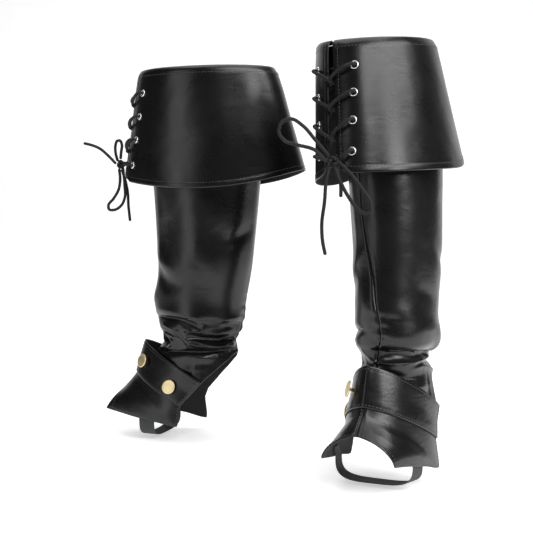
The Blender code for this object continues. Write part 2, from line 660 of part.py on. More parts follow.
def add_cord(name, points, diameter, material, closed_bevel=LACE_BEVEL):
    """A round cord along points in world coordinates."""
    curve = bpy.data.curves.new(name, "CURVE")
    curve.dimensions = "3D"
    curve.bevel_depth = diameter / 2
    curve.bevel_resolution = closed_bevel
    curve.use_fill_caps = True
    spline = curve.splines.new("POLY")
    spline.points.add(len(points) - 1)
    for target, point in zip(spline.points, points):
        target.co = (*point, 1.0)
    curve.materials.append(material)
    obj = bpy.data.objects.new(name, curve)
    bpy.context.scene.collection.objects.link(obj)
    return obj


def smooth_route(points, spacing):
    """Points an even distance apart along a smooth curve through the route's own points."""
    points = np.asarray(points, float)
    lengths = np.r_[0.0, np.cumsum(np.linalg.norm(np.diff(points, axis=0), axis=1))]
    count = max(4, round(lengths[-1] / spacing))
    wanted = np.linspace(0.0, lengths[-1], count + 1)
    return np.stack([smooth(lengths, points[:, axis], wanted) for axis in range(3)], axis=1)


def filled_route(points, spacing):
    """The route's own points, with more between them where they lie further apart than the spacing."""
    filled = [points[0]]
    for start, end in zip(points, points[1:]):
        count = max(1, round(float(np.linalg.norm(np.subtract(end, start))) / spacing))
        filled += [start + (end - start) * (step + 1) / count for step in range(count)]
    return filled


def to_world(leg, point):
    turn = math.radians(leg.toe_deg)
    x, y, z = point[0], point[1] * leg.side, point[2] - ANKLE_HEIGHT
    return np.array([leg.place[0] + x * math.cos(turn) - y * math.sin(turn),
                     leg.place[1] + x * math.sin(turn) + y * math.cos(turn), leg.place[2] + z])


def lacing_route(leg):
    """The lace's two runs, each from the lowest eyelet of one flap to the highest, and the bar."""
    above = LACE / 2 + 0.0022
    under = -CLOTH - LACE / 2 - 0.0012
    last = len(EYELET_ROWS) - 1

    def eyelet(side, number, out):
        centre, normal = eyelet_seat(leg, side, number)
        return centre + normal * out

    def climb(side):
        """It comes out of each eyelet, crosses the opening and goes in under the other flap."""
        course = [eyelet(side, last, above), eyelet(side, last, under)]
        for number in range(last - 1, -1, -1):
            low, high = EYELET_ROWS[number + 1], EYELET_ROWS[number]
            middle, reach = (low + high) / 2, (low - high) * 0.17
            over = (side == 1) == (number % 2 == 0)
            course.append(cuff_point(leg, side, middle + reach, 0.0040, under - 0.0004))
            course.append(cuff_point(leg, side, middle + reach * 0.4, -LACE_TURN, -0.0032))
            course.append(cuff_point(leg, 0, middle, 0.0, 0.0026 if over else -0.0020))
            side = -side
            course.append(cuff_point(leg, side, middle - reach * 0.4, -LACE_TURN, 0.0034 if over else 0.0020))
            course.append(cuff_point(leg, side, middle - reach, 0.0030, above + 0.0004))
            course += [eyelet(side, number, above), eyelet(side, number, under)]
        return course, side

    up, top_side = climb(1)
    down, _ = climb(-1)
    high = EYELET_ROWS[0]
    bar = [cuff_point(leg, top_side, high, distance, under - 0.0004) for distance in (0.018, 0.006)]
    bar += [cuff_point(leg, -top_side, high, distance, under - 0.0004) for distance in (0.006, 0.018)]
    return up, bar, down[::-1]


def seat_on_knot(knot, point):
    """Where a cord that comes from the point ends on the knot, in world coordinates."""
    away = np.subtract(point, knot)
    away /= np.linalg.norm(away)
    return knot + away * (1.0 / np.linalg.norm(away / np.array(KNOT_SIZE)) + KNOT_ROOM)


def make_lacing(prefix, leg, material, knot_material):
    up, bar, down = lacing_route(leg)
    knot_row, knot_shift = KNOT_PLACES[prefix]
    here, normal, around, _ = cuff_frame(leg, flap_angle(leg, 0, knot_row, 0.0), knot_row)
    centre = to_world(leg, here + normal * KNOT_STAND + around * knot_shift)
    course = [to_world(leg, point) for point in up + bar + down]
    course = [seat_on_knot(centre, course[0])] + course + [seat_on_knot(centre, course[-1])]
    add_cord(f"{prefix}_lacing", filled_route(course, 0.0110), LACE, material)
    work = bmesh.new()
    bmesh.ops.create_icosphere(work, subdivisions=2, radius=1.0)
    for vert in work.verts:
        vert.co = Vector([vert.co[axis] * KNOT_SIZE[axis] + centre[axis] for axis in range(3)])
    mesh = bpy.data.meshes.new(f"{prefix}_bow_knot")
    work.to_mesh(mesh)
    work.free()
    mesh.shade_smooth()
    mesh.materials.append(knot_material)
    bpy.context.scene.collection.objects.link(bpy.data.objects.new(f"{prefix}_bow_knot", mesh))
    for name, route in BOWS[prefix].items():
        points = [centre + np.array(point) for point in route]
        points[0] = seat_on_knot(centre, points[0])
        if "loop" in name:
            points[-1] = seat_on_knot(centre, points[-1])
        add_cord(f"{prefix}_{name}", smooth_route(points, 0.0085), LACE, material)


def finish(name, colour, roughness, metallic):
    material = bpy.data.materials.new(name)
    material.use_nodes = True
    shader = material.node_tree.nodes["Principled BSDF"]
    shader.inputs["Base Color"].default_value = (*colour, 1.0)
    shader.inputs["Roughness"].default_value = roughness
    shader.inputs["Metallic"].default_value = metallic
    return material


def main():
    for obj in list(bpy.data.objects):
        bpy.data.objects.remove(obj)
    leathercloth = finish("leathercloth", (0.012, 0.012, 0.014), 0.34, 0.0)
    lace = finish("lace", (0.015, 0.015, 0.016), 0.8, 0.0)
    silver = finish("silver", (0.78, 0.78, 0.77), 0.25, 1.0)
    gold = finish("gold", (0.80, 0.58, 0.26), 0.3, 1.0)
    elastic = finish("elastic", (0.045, 0.050, 0.047), 0.9, 0.0)
    for prefix, leg in LEGS.items():
        parent = leg_empty(prefix, leg)
        make_shaft(prefix, leg, leathercloth, parent)
        make_cuff(prefix, leg, leathercloth, parent)
        make_eyelets(prefix, leg, silver, parent)
        make_spat(prefix, leg, leathercloth, parent)
        make_strap(prefix, leg, leathercloth, parent)
        make_buttons(prefix, leg, gold, parent)
        make_foot_band(prefix, leg, elastic, parent)
        make_lacing(prefix, leg, lace, lace)
    bpy.context.view_layer.update()


main()
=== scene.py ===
# Looks for a pair of laced boot gaiters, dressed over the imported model. Metres, +Z up.
# Heights in the tables are above the floor, which lies ankleHeight under the frame's origin.

import math

import bmesh
import bpy
import numpy as np
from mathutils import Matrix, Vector


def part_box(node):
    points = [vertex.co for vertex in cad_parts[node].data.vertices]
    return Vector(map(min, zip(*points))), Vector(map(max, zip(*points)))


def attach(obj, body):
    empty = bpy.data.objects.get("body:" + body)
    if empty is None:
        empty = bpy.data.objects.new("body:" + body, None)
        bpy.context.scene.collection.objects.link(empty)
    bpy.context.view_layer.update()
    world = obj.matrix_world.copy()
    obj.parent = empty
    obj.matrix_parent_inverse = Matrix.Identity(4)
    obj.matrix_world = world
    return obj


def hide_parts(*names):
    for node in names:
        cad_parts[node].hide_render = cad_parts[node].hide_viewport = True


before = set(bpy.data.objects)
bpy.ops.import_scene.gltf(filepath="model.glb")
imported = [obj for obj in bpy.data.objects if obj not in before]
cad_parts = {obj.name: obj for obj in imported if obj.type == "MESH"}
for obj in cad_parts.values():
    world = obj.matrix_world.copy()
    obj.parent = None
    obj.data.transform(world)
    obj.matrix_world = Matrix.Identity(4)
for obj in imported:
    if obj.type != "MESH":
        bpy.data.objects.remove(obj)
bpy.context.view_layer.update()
ankleHeight = 0.100
scene = bpy.context.scene
print("frame loaded")

# camera at the photo's place, level, looking along +Y
view = {"place": (-0.155, -1.02, 0.16), "focalPixels": 850, "framePixels": 533, "shiftPixels": -10}
cameraData = bpy.data.cameras.new("camera")
cameraData.sensor_width = 36
cameraData.lens = view["focalPixels"] / view["framePixels"] * 36
cameraData.shift_y = view["shiftPixels"] / view["framePixels"]
cameraObject = bpy.data.objects.new("camera", cameraData)
cameraObject.location = view["place"]
cameraObject.rotation_euler = (math.radians(90), 0, 0)
scene.collection.objects.link(cameraObject)
scene.camera = cameraObject

# each leg: its place, toe direction and side, and how its cuff sits; as in the solids
legs = {
    "left": {"place": (0.0, 0.0, 0.0), "toeDeg": 240.0, "side": 1, "rimHeight": 0.526,
             "rimTilt": -0.016, "rimSway": -0.002, "leanForward": -0.003, "leanOutward": 0.002,
             "openingDeg": -15.0, "drops": (0.157, 0.158, 0.137, 0.176), "medialShare": 0.4,
             "fills": ((104, 0.1500, 0.0080, 0.0040),)},
    "right": {"place": (-0.251, 0.212, 0.0), "toeDeg": 166.0, "side": -1, "rimHeight": 0.525,
              "rimTilt": 0.001, "rimSway": 0.007, "leanForward": 0.005, "leanOutward": 0.017,
              "openingDeg": -19.0, "drops": (0.152, 0.165, 0.143, 0.166), "medialShare": 1.0,
              "fills": ((176, 0.1540, 0.0090, 0.0034), (-10, 0.1980, 0.0120, 0.0010))},
}
cloth = 0.0016
seamGap = 0.0003
foldRadius = 0.055  # turns an angle round the tube into a distance
instep = np.array([0.04, 0.0, 0.03])  # a point that the cloth of the instep faces away from


def smooth(places, values, wanted):  # cubic pieces through a table's values
    places, values = np.asarray(places, float), np.asarray(values, float)
    if places[0] > places[-1]:
        places, values = places[::-1], values[::-1]
    slopes = np.gradient(values, places)
    wanted = np.clip(np.asarray(wanted, float), places[0], places[-1])
    after = np.clip(np.searchsorted(places, wanted), 1, len(places) - 1)
    step = places[after] - places[after - 1]
    t = (wanted - places[after - 1]) / step
    first, last = values[after - 1], values[after]
    return ((2 * t ** 3 - 3 * t ** 2 + 1) * first + (t ** 3 - 2 * t ** 2 + t) * slopes[after - 1] * step
            + (3 * t ** 2 - 2 * t ** 3) * last + (t ** 3 - t ** 2) * slopes[after] * step)


def ease(t):
    t = np.clip(t, 0.0, 1.0)
    return t * t * (3 - 2 * t)


def bell(distance, width):
    return np.exp(-(np.asarray(distance) / width) ** 2)


def gridNormals(points):
    normals = np.cross(np.gradient(points, axis=1), np.gradient(points, axis=0))
    return normals / np.maximum(np.linalg.norm(normals, axis=-1, keepdims=True), 1e-12)


def turnedOut(normals, away):  # the normals, each on the side that a direction points to
    return np.where(np.sum(normals * away, axis=-1, keepdims=True) < 0, -normals, normals)


def reachAlong(points):  # how far along a line each of its points is
    return np.r_[0.0, np.cumsum(np.linalg.norm(np.diff(points, axis=0), axis=1))]


def toWorld(leg, points):  # leg frame (forward, outward, height above the floor) to the model's frame
    points = np.asarray(points, float)
    turn = math.radians(leg["toeDeg"])
    x, y, z = points[..., 0], points[..., 1] * leg["side"], points[..., 2] - ankleHeight
    px, py, pz = leg["place"]
    return np.stack([px + x * math.cos(turn) - y * math.sin(turn),
                     py + x * math.sin(turn) + y * math.cos(turn), pz + z], axis=-1)


def turnOnly(leg, directions):
    return toWorld(leg, directions) - toWorld(leg, np.zeros(3))


def fromWorld(leg, point):
    turn = math.radians(leg["toeDeg"])
    dx, dy = point[0] - leg["place"][0], point[1] - leg["place"][1]
    return np.array([dx * math.cos(turn) + dy * math.sin(turn),
                     (-dx * math.sin(turn) + dy * math.cos(turn)) * leg["side"],
                     point[2] - leg["place"][2] + ankleHeight])


# shader maths: a socket that takes part in Python expressions
class Wire:
    def __init__(self, shader, socket):
        self.shader, self.socket = shader, socket

    def _maths(self, operation, *values):
        return self.shader.node("ShaderNodeMath", {"operation": operation}, dict(enumerate(values)))[0]

    def __add__(self, other):
        return self._maths("ADD", self, other)

    def __radd__(self, other):
        return self._maths("ADD", other, self)

    def __sub__(self, other):
        return self._maths("SUBTRACT", self, other)

    def __rsub__(self, other):
        return self._maths("SUBTRACT", other, self)

    def __mul__(self, other):
        return self._maths("MULTIPLY", self, other)

    def sine(self):
        return self._maths("SINE", self)

    def clamp(self):
        return self._maths("MINIMUM", self._maths("MAXIMUM", self, 0.0), 1.0)


class Shader:
    def __init__(self, name):
        self.material = bpy.data.materials.new(name)
        self.material.use_nodes = True
        self.tree = self.material.node_tree
        self.surface = self.tree.nodes["Principled BSDF"]

    def node(self, kind, settings, inputs):
        made = self.tree.nodes.new(kind)
        for key, value in settings.items():
            setattr(made, key, value)
        for key, value in inputs.items():
            if isinstance(value, Wire):
                self.tree.links.new(value.socket, made.inputs[key])
            else:
                made.inputs[key].default_value = value
        return [Wire(self, out) for out in made.outputs]

    def place(self, scale=(1, 1, 1), source="Object"):
        coordinates = self.tree.nodes.new("ShaderNodeTexCoord")
        moved = self.tree.nodes.new("ShaderNodeMapping")
        moved.inputs["Scale"].default_value = scale
        self.tree.links.new(coordinates.outputs[source], moved.inputs["Vector"])
        return Wire(self, moved.outputs["Vector"])

    def noise(self, vector, scale, detail=2.0, roughness=0.5, distortion=0.0):
        return self.node("ShaderNodeTexNoise", {}, {"Vector": vector, "Scale": scale, "Detail": detail,
                                                    "Roughness": roughness, "Distortion": distortion})[0]

    def mix(self, factor, first, second):
        made = self.tree.nodes.new("ShaderNodeMix")
        made.data_type = "RGBA"
        for key, value in ((0, factor), (6, first), (7, second)):
            if isinstance(value, Wire):
                self.tree.links.new(value.socket, made.inputs[key])
            else:
                made.inputs[key].default_value = value if key == 0 else (*value, 1)
        return Wire(self, made.outputs[2])

    def bump(self, height, strength, distance, under=None):
        inputs = {"Height": height, "Strength": strength, "Distance": distance}
        if under is not None:
            inputs["Normal"] = under
        return self.node("ShaderNodeBump", {}, inputs)[0]

    def finish(self, **sockets):
        for key, value in sockets.items():
            name = {"color": "Base Color", "roughness": "Roughness", "metallic": "Metallic",
                    "normal": "Normal", "specular": "Specular IOR Level"}[key]
            if isinstance(value, Wire):
                self.tree.links.new(value.socket, self.surface.inputs[name])
            else:
                self.surface.inputs[name].default_value = (*value, 1) if key == "color" else value
        return self.material


leatherLook = {"dark": (0.0022, 0.0022, 0.0025), "pale": (0.0048, 0.0048, 0.0053), "roughness": 0.29,
               "roughnessSpread": 0.14, "grainScale": 620.0, "grainDepth": 0.00010,
               "creaseScale": 60.0, "creaseDepth": 0.0006, "swellScale": 15.0, "swellDepth": 0.0030}


def makeLeathercloth(name, creases):
    shader = Shader(name)
    place = shader.place()
    grain = shader.noise(place, leatherLook["grainScale"], 3.0, 0.6)
    crease = shader.noise(shader.place((0.55, 0.55, 1.5)), leatherLook["creaseScale"], 2.0, 0.5, 0.5)
    swell = shader.noise(place, leatherLook["swellScale"], 1.5, 0.4, 0.6)
    rub = shader.noise(place, 32.0, 4.0, 0.6)
    normal = shader.bump(swell, 0.5, leatherLook["swellDepth"])
    normal = shader.bump(crease, creases, leatherLook["creaseDepth"], normal)
    normal = shader.bump(grain, 0.5, leatherLook["grainDepth"], normal)
    roughness = leatherLook["roughness"] + (rub - 0.5) * leatherLook["roughnessSpread"] + (grain - 0.5) * 0.08
    color = shader.mix(rub, leatherLook["dark"], leatherLook["pale"])
    return shader.finish(color=color, roughness=roughness, normal=normal, specular=0.46)


def makeLining():
    shader = Shader("knitLining")
    place = shader.place()
    weave = shader.noise(place, 900.0, 2.0, 0.6)
    cloudy = shader.noise(place, 30.0, 2.0)
    normal = shader.bump(weave, 0.6, 0.0002)
    return shader.finish(color=shader.mix(cloudy, (0.010, 0.010, 0.011), (0.018, 0.018, 0.019)),
                         roughness=0.85 + (weave - 0.5) * 0.1, normal=normal)


# the braid's two colours are painted shade in the valleys between strands and a painted highlight on their crests
laceLook = {"turns": 5.0, "pitch": 260.0, "depth": 0.0004, "dark": (0.003, 0.003, 0.0035),
            "pale": (0.014, 0.014, 0.0155)}


def makeBraid():
    shader = Shader("braidedLace")
    vector = shader.place(source="UV")
    u, v, _ = shader.node("ShaderNodeSeparateXYZ", {}, {"Vector": vector})
    left = (u * (math.tau * laceLook["turns"]) + v * laceLook["pitch"] * math.tau).sine()
    right = (u * (math.tau * laceLook["turns"]) - v * laceLook["pitch"] * math.tau).sine()
    strands = (left * right) * 0.5 + 0.5
    fuzz = shader.noise(shader.place(), 1500.0, 2.0)
    normal = shader.bump(strands + fuzz * 0.3, 0.8, laceLook["depth"])
    # painted shade and highlight: the braid is darker in the valleys between strands and paler on the crests,
    # following the bump height
    color = shader.mix(strands, laceLook["dark"], laceLook["pale"])
    return shader.finish(color=color, roughness=0.78 - strands * 0.15, normal=normal, specular=0.35)


def makeMetal(name, color, tint, roughness):
    shader = Shader(name)
    place = shader.place()
    brush = shader.noise(place, 700.0, 3.0)
    cloudy = shader.noise(place, 120.0, 2.0)
    normal = shader.bump(brush, 0.25, 0.00008)
    return shader.finish(color=shader.mix(cloudy, color, tint), metallic=1.0,
                         roughness=roughness + (brush - 0.5) * 0.12, normal=normal)


def makeElastic():
    shader = Shader("ribbedElastic")
    vector = shader.place(source="UV")
    u, v, _ = shader.node("ShaderNodeSeparateXYZ", {}, {"Vector": vector})
    ribs = (u * (math.tau * 620)).sine() * 0.5 + 0.5
    yarn = (v * (math.tau * 900)).sine() * 0.5 + 0.5
    normal = shader.bump(ribs * 0.8 + yarn * 0.3, 0.8, 0.0004)
    # painted shade and highlight: the elastic is darker in the grooves between ribs and paler on the rib crests,
    # following the bump height
    color = shader.mix(ribs, (0.020, 0.022, 0.021), (0.060, 0.066, 0.062))
    return shader.finish(color=color, roughness=0.85 - ribs * 0.1, normal=normal)


def makeThread():
    shader = Shader("sewingThread")
    twist = shader.noise(shader.place(), 2600.0, 2.0)
    normal = shader.bump(twist, 0.5, 0.0001)
    return shader.finish(color=shader.mix(twist, (0.040, 0.040, 0.043), (0.085, 0.085, 0.090)),
                         roughness=0.5 + (twist - 0.5) * 0.2, normal=normal)


leatherTube = makeLeathercloth("leatherclothTube", 0.40)
leatherCuff = makeLeathercloth("leatherclothCuff", 0.30)
leatherTrim = makeLeathercloth("leatherclothTrim", 0.55)
lining = makeLining()
braid = makeBraid()
silver = makeMetal("silverMetal", (0.74, 0.74, 0.73), (0.86, 0.86, 0.84), 0.22)
gold = makeMetal("goldMetal", (0.83, 0.66, 0.36), (0.92, 0.78, 0.50), 0.42)
elastic = makeElastic()
thread = makeThread()
print("materials made")


def addPiece(name, mesh, replaced=()):
    piece = bpy.data.objects.new(name, mesh)
    scene.collection.objects.link(piece)
    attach(piece, "root")
    if replaced:
        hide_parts(*replaced)
    return piece


def settle(mesh, merged=True):  # meeting points made one, faces turned outward, smooth
    work = bmesh.new()
    work.from_mesh(mesh)
    if merged:
        bmesh.ops.remove_doubles(work, verts=work.verts, dist=1e-6)
    bmesh.ops.recalc_face_normals(work, faces=work.faces)
    work.to_mesh(mesh)
    work.free()
    mesh.shade_smooth()
    return mesh


def shellMesh(name, outer, inner, leg, materials):
    # a thin wall between two grids, with rounded edges; material 0 outside and 1 on the inner face
    rows, columns = outer.shape[:2]
    middle = (outer + inner) / 2
    round_ = np.linalg.norm(outer - inner, axis=-1, keepdims=True) * 0.42

    def edge(points, neighbours, bulge):
        away = points - neighbours
        return points + away / np.maximum(np.linalg.norm(away, axis=-1, keepdims=True), 1e-9) * bulge

    top = edge(middle[0], middle[1], round_[0])
    bottom = edge(middle[-1], middle[-2], round_[-1])
    start = edge(middle[:, 0], middle[:, 1], round_[:, 0])
    end = edge(middle[:, -1], middle[:, -2], round_[:, -1])
    start[0], start[-1], end[0], end[-1] = top[0], bottom[0], top[-1], bottom[-1]
    parts = [outer.reshape(-1, 3), inner.reshape(-1, 3), top, bottom, start, end]
    offsets = np.cumsum([0] + [len(part) for part in parts])
    points = toWorld(leg, np.concatenate(parts))
    faces, slots = [], []
    out, ins, topAt, bottomAt, startAt, endAt = offsets[:6]
    last = (rows - 1) * columns

    def quads(a, b, c, d, slot):
        block = np.stack([a, b, c, d], axis=1)
        faces.append(block)
        slots.append(np.full(len(block), slot))

    r, c = np.meshgrid(np.arange(rows - 1), np.arange(columns - 1), indexing="ij")
    a = (r * columns + c).ravel()
    quads(out + a, out + a + 1, out + a + 1 + columns, out + a + columns, 0)
    quads(ins + a, ins + a + columns, ins + a + 1 + columns, ins + a + 1, 1)
    c = np.arange(columns - 1)
    quads(out + c, topAt + c, topAt + c + 1, out + c + 1, 0)
    quads(topAt + c, ins + c, ins + c + 1, topAt + c + 1, 1)
    quads(out + last + c, out + last + c + 1, bottomAt + c + 1, bottomAt + c, 0)
    quads(bottomAt + c, bottomAt + c + 1, ins + last + c + 1, ins + last + c, 1)
    r = np.arange(rows - 1)
    one = r * columns
    quads(out + one, out + one + columns, startAt + r + 1, startAt + r, 0)
    quads(startAt + r, startAt + r + 1, ins + one + columns, ins + one, 1)
    two = one + columns - 1
    quads(out + two, endAt + r, endAt + r + 1, out + two + columns, 0)
    quads(endAt + r, ins + two, ins + two + columns, endAt + r + 1, 1)
    faces = np.concatenate(faces)
    slots = np.concatenate(slots)
    mesh = bpy.data.meshes.new(name)
    mesh.from_pydata(points.tolist(), [], faces.tolist())
    mesh.polygons.foreach_set("material_index", slots.astype(np.int32))
    for material in materials:
        mesh.materials.append(material)
    # flat coordinates in metres: along the rows and down the columns
    u, v = np.meshgrid(reachAlong(outer[rows // 2]), reachAlong(outer[:, columns // 2]))
    flat = np.stack([u, v], axis=-1).reshape(-1, 2)
    flatAll = np.concatenate([flat, flat, flat[:columns], flat[last:], flat[::columns],
                              flat[columns - 1::columns]])
    layer = mesh.uv_layers.new(name="flat")
    layer.data.foreach_set("uv", flatAll[faces.ravel()].astype(np.float32).ravel())
    return settle(mesh)


def areaOf(grid):
    across, down = np.diff(grid, axis=1)[:-1], np.diff(grid, axis=0)[:, :-1]
    return float(np.linalg.norm(np.cross(across, down), axis=-1).sum())


def addSheet(name, node, outer, inner, leg, leather):
    piece = addPiece(name, shellMesh(name, outer, inner, leg, (leather, lining)), (node,))
    print(name, "area", round(areaOf(outer), 4))


def wander(points, size, seed):  # soft wandering height, the same each run, from a few sines of the place
    rng = np.random.default_rng(seed)
    total = np.zeros(points.shape[:-1])
    for _ in range(6):
        direction = rng.normal(size=3)
        direction /= np.linalg.norm(direction)
        total += np.sin(points @ direction * math.tau / (size * rng.uniform(0.7, 1.5)) + rng.uniform(0, math.tau))
    return total / 6


# the leg tube: two panels from the cuff's fold down to the hem
tube = {
    "ringHeight": (0.54, 0.45, 0.362, 0.318, 0.284, 0.249, 0.215, 0.189, 0.172, 0.16, 0.15, 0.143, 0.136),
    "halfDepth": (0.091, 0.085, 0.0785, 0.0745, 0.0722, 0.0692, 0.0672, 0.0655, 0.0635, 0.0595,
                  0.0555, 0.0535, 0.0535),
    "halfWidth": (0.059, 0.056, 0.053, 0.0515, 0.0505, 0.05, 0.0475, 0.0465, 0.0475, 0.046, 0.0405, 0.037, 0.037),
    "forward": (-0.022, -0.0165, -0.011, -0.01, -0.009, -0.007, -0.003, 0.000, 0.000, 0.000, 0.001, 0.000, -0.001),
    "outward": (-0.037, -0.0205, -0.004, -0.002, -0.001, 0.000, 0.001, 0.002, 0.002, 0.001, 0.000, -0.001, -0.001),
    "twistDeg": (-15, -15, -15, -15, -11, -6, -2, 0, 0, 0, 0, 0, 0),
    "top": 0.5, "ankle": 0.136, "cuffHem": 0.36, "rimDrop": 0.0053, "lowerSteps": 7,
    "lapRow": 1.35, "lapRoom": 0.0034, "sideAngle": 95.0,
    "hem": ((95.0, 0.003, 0.0488, 0.044, 0.063), (110.0, -0.015, 0.0465, 0.0425, 0.083),
            (135.0, -0.034, 0.035, 0.034, 0.101), (158.0, -0.05, 0.019, 0.019, 0.116),
            (180.0, -0.058, 0.0, 0.0, 0.1265)),
    "columns": 78, "upperRows": 96, "foldRows": 74, "hemRows": 46,
}
# folds from one point to another on the tube: degrees, height, degrees, height, half width, rise
folds = (
    (-20, 0.176, -78, 0.172, 0.0055, -0.006), (-78, 0.17, -104, 0.158, 0.006, -0.006),
    (-30, 0.162, -66, 0.15, 0.006, 0.0035), (-86, 0.142, -128, 0.134, 0.0042, 0.004),
    (-128, 0.134, -172, 0.1375, 0.0044, 0.0036), (-106, 0.166, -170, 0.16, 0.006, -0.0055),
    (-25, 0.137, -95, 0.127, 0.006, -0.005), (-60, 0.118, -130, 0.118, 0.006, 0.0024),
    (0, 0.149, 70, 0.148, 0.0065, -0.0055), (70, 0.147, 130, 0.15, 0.006, -0.0055),
    (-6, 0.137, 64, 0.135, 0.006, 0.003), (64, 0.134, 120, 0.139, 0.0055, 0.0028),
    (6, 0.126, 80, 0.12, 0.006, -0.004), (120, 0.15, 172, 0.147, 0.0055, 0.0034),
    (0, 0.168, 55, 0.166, 0.008, 0.0022), (-22, 0.268, -62, 0.233, 0.009, 0.0024),
    (-30, 0.242, -66, 0.218, 0.008, -0.0026), (-150, 0.3, -120, 0.276, 0.01, -0.0024),
    (-28, 0.34, -36, 0.25, 0.009, -0.0022), (100, 0.27, 150, 0.235, 0.01, -0.0022),
)
# finer folds than the solids carry, as lines over the tube in the same columns (degrees, height):
# a ridge has a narrow crest, a dent is soft, and a roll bulges above its line and tucks in under it
ridges = (
    (((-112, 0.1577), (-104, 0.154), (-92, 0.156), (-84, 0.153), (-82, 0.145), (-88, 0.1372), (-101, 0.1345),
      (-127, 0.1325), (-165, 0.135)), 0.002, 0.0048),
    (((-66, 0.157), (-74, 0.148), (-80, 0.14), (-88, 0.13)), 0.002, 0.003),
    (((-108, 0.16), (-122, 0.165), (-138, 0.17), (-165, 0.172)), 0.0026, 0.0018),
    (((-40, 0.166), (-62, 0.1585), (-74, 0.154)), 0.0018, 0.003),
    (((-66, 0.1225), (-92, 0.119), (-124, 0.1155)), 0.003, 0.0013),
    (((-60, 0.1055), (-90, 0.1), (-120, 0.103)), 0.0034, 0.001),
    (((-5, 0.27), (-30, 0.25), (-57, 0.2268)), 0.005, 0.0016),
    (((-36, 0.1505), (-14, 0.1415), (8, 0.1372), (44, 0.1368), (66, 0.1381), (106, 0.1402),
      (150, 0.144)), 0.0022, 0.003),
    (((58, 0.129), (82, 0.133), (120, 0.1235), (150, 0.124)), 0.0021, 0.0022),
    (((96, 0.148), (128, 0.144), (168, 0.149)), 0.0022, 0.0016),
    (((10, 0.161), (48, 0.159), (84, 0.161)), 0.004, 0.001),
    (((20, 0.118), (60, 0.11), (100, 0.109)), 0.0034, 0.0012),
    (((4, 0.184), (9, 0.174), (6, 0.166)), 0.0018, 0.0012),
)
dents = (
    (((-38, 0.1262), (-82, 0.1262), (-116, 0.1275), (-166, 0.13)), 0.003, -0.0042),
    (((-92, 0.148), (-104, 0.144), (-130, 0.143), (-168, 0.146)), 0.0046, -0.0062),
    (((-116, 0.156), (-140, 0.156), (-168, 0.158)), 0.005, -0.0034),
    (((-36, 0.15), (-58, 0.147)), 0.005, -0.002),
    (((-28, 0.2333), (-57, 0.21)), 0.006, -0.0016),
    (((-99, 0.3), (-126, 0.27)), 0.011, -0.0014),
    (((8, 0.131), (36, 0.125), (66, 0.119)), 0.0034, -0.0026),
    (((66, 0.135), (98, 0.1365), (140, 0.1365)), 0.0042, -0.0042),
    (((14, 0.19), (36, 0.188)), 0.005, -0.001),
    (((60, 0.225), (96, 0.205)), 0.009, -0.0012),
)
rolls = (
    (((-4, 0.1765), (-40, 0.174), (-74, 0.1735), (-95, 0.1705), (-110, 0.162)), 0.01, 0.0026),
    (((-112, 0.164), (-132, 0.169), (-172, 0.172)), 0.008, 0.0016),
    (((-22, 0.1285), (-45, 0.1265), (-82, 0.1262), (-116, 0.1275), (-168, 0.13)), 0.006, 0.003),
    (((172, 0.154), (130, 0.149), (96, 0.1475), (59, 0.15), (15, 0.154), (-30, 0.1555)), 0.009, 0.003),
)
swells = (  # broad soft fullness: degrees, height, width, rise
    (-8, 0.205, 0.017, 0.003), (-52, 0.1345, 0.008, 0.005), (108, 0.161, 0.015, 0.0034),
    (60, 0.176, 0.02, 0.0014), (122, 0.123, 0.009, 0.0018), (170, 0.178, 0.018, 0.0016),
    (-100, 0.185, 0.02, 0.0012),
)
# the front seam wanders a little from the middle: heights and degrees
seamWander = ((0.5, 0.0), (0.36, -3.0), (0.307, -4.0), (0.257, -1.0), (0.2, 2.0), (0.18, 4.5),
              (0.168, 5.0), (0.155, 2.0), (0.145, -1.0), (0.13, -1.5), (0.11, 0.0), (0.06, 0.0))


def lineOffset(points, angles, line):  # distance to a line over the tube, its sign, and the share along it
    radius = foldRadius
    along = angles * radius
    knots = np.array([(math.radians(deg) * radius, height) for deg, height in line])
    steps = np.linalg.norm(np.diff(knots, axis=0), axis=1)
    reach = np.r_[0, np.cumsum(steps)]
    best = np.full(points.shape[:2], 1e3)
    sign, share = np.zeros_like(best), np.zeros_like(best)
    for turn in (-math.tau * radius, 0.0, math.tau * radius):
        for first, last, start, step in zip(knots[:-1], knots[1:], reach[:-1], steps):
            run = (last - first) / step
            dx, dz = along - first[0] - turn, points[..., 2] - first[1]
            t = np.clip(dx * run[0] + dz * run[1], 0.0, step)
            distance = np.hypot(dx - t * run[0], dz - t * run[1])
            nearer = distance < best
            best = np.where(nearer, distance, best)
            sign = np.where(nearer, np.sign(dz), sign)
            share = np.where(nearer, (start + t) / reach[-1], share)
    return best, sign, share


def shareOf(leg, first, last):  # the left leg's medial folds are softer than the right's
    return leg["medialShare"] if first < -15 and last < -15 or min(first, last) < -60 else 1.0


def fineRise(leg, points, angles):
    rise = np.zeros(points.shape[:2])
    for line, width, lift in ridges:
        distance, _, share = lineOffset(points, angles, line)
        crest = np.exp(0.35 - np.sqrt((distance / width) ** 2 + 0.1225)) * shareOf(leg, line[0][0], line[-1][0])
        rise += lift * (0.25 + 0.75 * np.sin(np.pi * share) ** 0.7) * crest
    for line, width, lift in dents:
        distance, _, share = lineOffset(points, angles, line)
        hollow = bell(distance, width) * shareOf(leg, line[0][0], line[-1][0])
        rise += lift * (0.25 + 0.75 * np.sin(np.pi * share) ** 0.7) * hollow
    for line, width, lift in rolls:
        distance, sign, share = lineOffset(points, angles, line)
        offset = distance * sign
        lip = np.tanh(offset / 0.0018) * np.exp(-np.abs(offset) / width) * shareOf(leg, line[0][0], line[-1][0])
        rise += lift * (0.2 + 0.8 * np.sin(np.pi * share) ** 0.6) * lip
    for deg, height, width, lift in swells + leg["fills"]:
        away = (angles - math.radians(deg) + math.pi) % math.tau - math.pi
        lift = lift * shareOf(leg, deg, deg)
        rise += lift * bell(np.hypot(away * foldRadius, points[..., 2] - height), width)
    return rise


